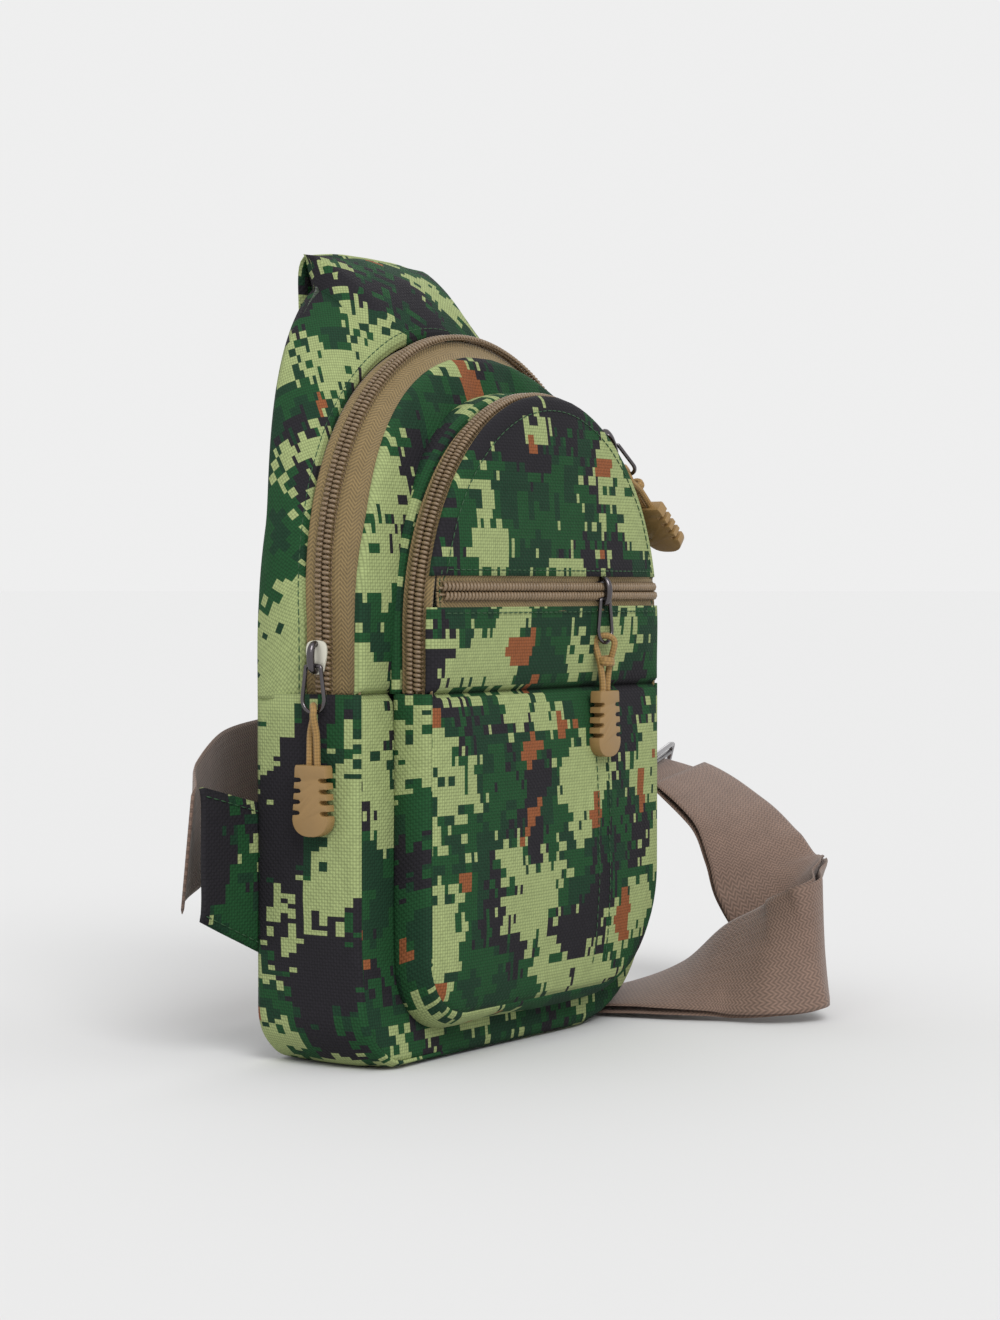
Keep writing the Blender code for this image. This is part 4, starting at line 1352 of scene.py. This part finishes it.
def tag_outline():
    """A grip tag with four slots in each side and a round foot."""
    wide, long, top = 0.0080, 0.0260, -0.0190
    right = [(wide * 0.80, top), (wide * 0.86, top - 0.0010)]
    z = top - 0.0045
    for i in range(4):
        reach = wide * (0.88 + 0.03 * i)
        right += [(reach, z), (reach - 0.0026, z - 0.0002), (reach - 0.0032, z - 0.0009),
                  (reach - 0.0026, z - 0.0016), (reach, z - 0.0018)]
        z -= 0.0040
    foot = top - long + wide * 0.8
    for i in range(13):
        turn = math.pi / 2 * i / 12
        right.append((wide * math.cos(turn) ** 0.8 if i < 12 else 0.0, foot - wide * 0.8 * math.sin(turn)))
    return right[:-1] + [(0.0, top - long)] + [(-x, z) for x, z in reversed(right[:-1])]


def make_pull(prefix, body_metal, knot, along_zip=True):
    """Slider, bridge, wire ring, cord and tag, in the frame that their joints give."""
    def add(part, mesh, finish, body, node):
        new_piece(f"{prefix}_{part}", mesh, finish, f"{prefix}_{body}", [f"{prefix}_{node}"])

    ring_joint = JOINTS[f"{prefix}_ring_swing"]
    pivot = Vector(ring_joint["pos_m"])
    foot = Vector(JOINTS[f"{prefix}_pull_swing"]["pos_m"])
    across = -Vector(ring_joint["axis"]).normalized()
    up = (pivot - foot).normalized()
    out = across.cross(up)
    turned = Matrix((across, -out, up)).transposed().to_4x4()
    at_pivot = Matrix.Translation(pivot) @ turned
    at_foot = Matrix.Translation(foot) @ turned
    seat = at_pivot @ Matrix.Translation((0, 0.0047, 0.00315))
    run = seat if along_zip else seat @ Matrix.Rotation(math.pi / 2, 4, "Y")
    wide, long = 0.00475, 0.00625
    half = [(wide * 0.62, -long), (wide * 0.80, -long * 0.5), (wide, long * 0.1), (wide, long * 0.65),
            (wide * 0.70, long)]
    outline = rounded(half + [(-x, z) for x, z in reversed(half)])
    plates = [
        smooth_prism("top", outline, -0.0032, -0.0020, 0.0005, run),
        smooth_prism("core", [(x * 0.45, z * 0.9) for x, z in outline], -0.0022, -0.0007, 0.0002, run),
    ]
    mesh = join_meshes(f"{prefix}_slider_body", plates)
    add("slider_body", mesh, body_metal, "slider", "slider")
    line = []
    for i in range(17):
        turn = math.pi * i / 16
        z = -0.0050 * math.cos(turn)
        line.append(seat @ Vector((0, -0.0028 - 0.0036 * math.sin(turn) ** 0.6, z)))
    thick = [0.0011 + 0.0004 * math.sin(math.pi * i / 16) for i in range(17)]
    mesh = tube_mesh(f"{prefix}_bridge_arch", line, thick, 12)
    add("bridge_arch", mesh, GUNMETAL, "slider", "bridge")
    top, reach, drop = 0.0033, 0.0050, 0.0170
    loop = [(-top, 0, 0), (0, 0, 0.0004), (top, 0, 0)]
    for i in range(25):
        turn = math.pi * i / 24
        loop.append((reach * math.cos(turn), 0, reach - drop - reach * math.sin(turn)))
    ring_line = resample([at_pivot @ Vector(p) for p in loop + loop[:1]], 60)[:-1]
    mesh = tube_mesh(f"{prefix}_wire_ring", ring_line, 0.0008, 10, closed=True)
    add("wire_ring", mesh, GUNMETAL, "ring", "ring")
    away = 0.0029
    side = [
        (0.0019, 0.0, -0.0200), (0.0017, 0.0, -0.0170), (0.0019, -0.0004, -0.0120),
        (0.0022, -0.0012, -0.0070), (0.0022, -away, -0.0015), (0.0022, -away * 0.95, 0.0010),
        (0.0010, -away * 0.5, 0.0024),
    ]
    line = side + [(0, 0, 0.0027)] + [(-x, -y, z) for x, y, z in reversed(side)]
    cord_line = catmull([at_foot @ Vector(p) for p in line], 5)
    parts = [tube_mesh("cord", cord_line, CORD_RADIUS, 10)]
    if knot:
        wrap = []
        for i in range(40):
            turn = 4 * math.pi * i / 39
            wrap.append(at_foot @ Vector((
                0.0024 * math.cos(turn), 0.0020 * math.sin(turn) - 0.0006, -0.0062 - 0.0022 * i / 39)))
        parts.append(tube_mesh("knot", wrap, CORD_RADIUS, 10))
    add("cord", join_meshes(f"{prefix}_cord", parts), BRAID, "pull", "pull_cord")
    mesh = smooth_prism(f"{prefix}_tag", tag_outline(), -0.0025, 0.0025, 0.0004, at_foot)
    add("tag", mesh, TAG_RUBBER, "pull", "pull_tag")


# Studio

def sun_light(name, place, strength, spread):
    """Even soft light from far away, so that the floor shows no edge."""
    data = bpy.data.lights.new(name, "SUN")
    data.energy = strength
    data.angle = math.radians(spread)
    lamp = bpy.data.objects.new(name, data)
    lamp.rotation_euler = (-Vector(place)).to_track_quat("-Z", "Y").to_euler()
    bpy.context.collection.objects.link(lamp)


def make_studio():
    mesh = bpy.data.meshes.new("floor")
    far = 400
    corners = [(-far, -far, 0), (far, -far, 0), (far, far, 0), (-far, far, 0)]
    mesh.from_pydata(corners, [], [(0, 1, 2, 3)])
    s = Shader("pale_floor")
    mesh.materials.append(s.set(
        Base_Color=(0.66, 0.66, 0.66, 1), Roughness=1.0, Specular_IOR_Level=0.0))
    floor = bpy.data.objects.new("floor", mesh)
    floor.location.z = -0.0006
    bpy.context.collection.objects.link(floor)
    floor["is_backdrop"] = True
    world = bpy.data.worlds.new("studio")
    world.use_nodes = True
    background = world.node_tree.nodes["Background"]
    background.inputs[0].default_value = (1, 1, 1, 1)
    background.inputs[1].default_value = 0.86
    bpy.context.scene.world = world
    sun_light("key", (-1.5, -1.8, 2.0), 1.7, 30)
    sun_light("back", (1.4, 1.0, 1.3), 0.35, 40)
    scene = bpy.context.scene
    scene.view_settings.view_transform = "Standard"


make_upper_gusset()
make_lower_gusset()
make_front_panels()
make_main_zip()
make_pocket()
make_back()
make_pad()
make_tab_and_ring()
make_wing()
make_pull("main", CREAM, False)
make_pull("pocket", GUNMETAL, True)
make_pull("slip", GUNMETAL, True, along_zip=False)
make_studio()

boxes = [[[float(c) for c in corner] for corner in box] for box in (CAD_BOX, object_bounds())]
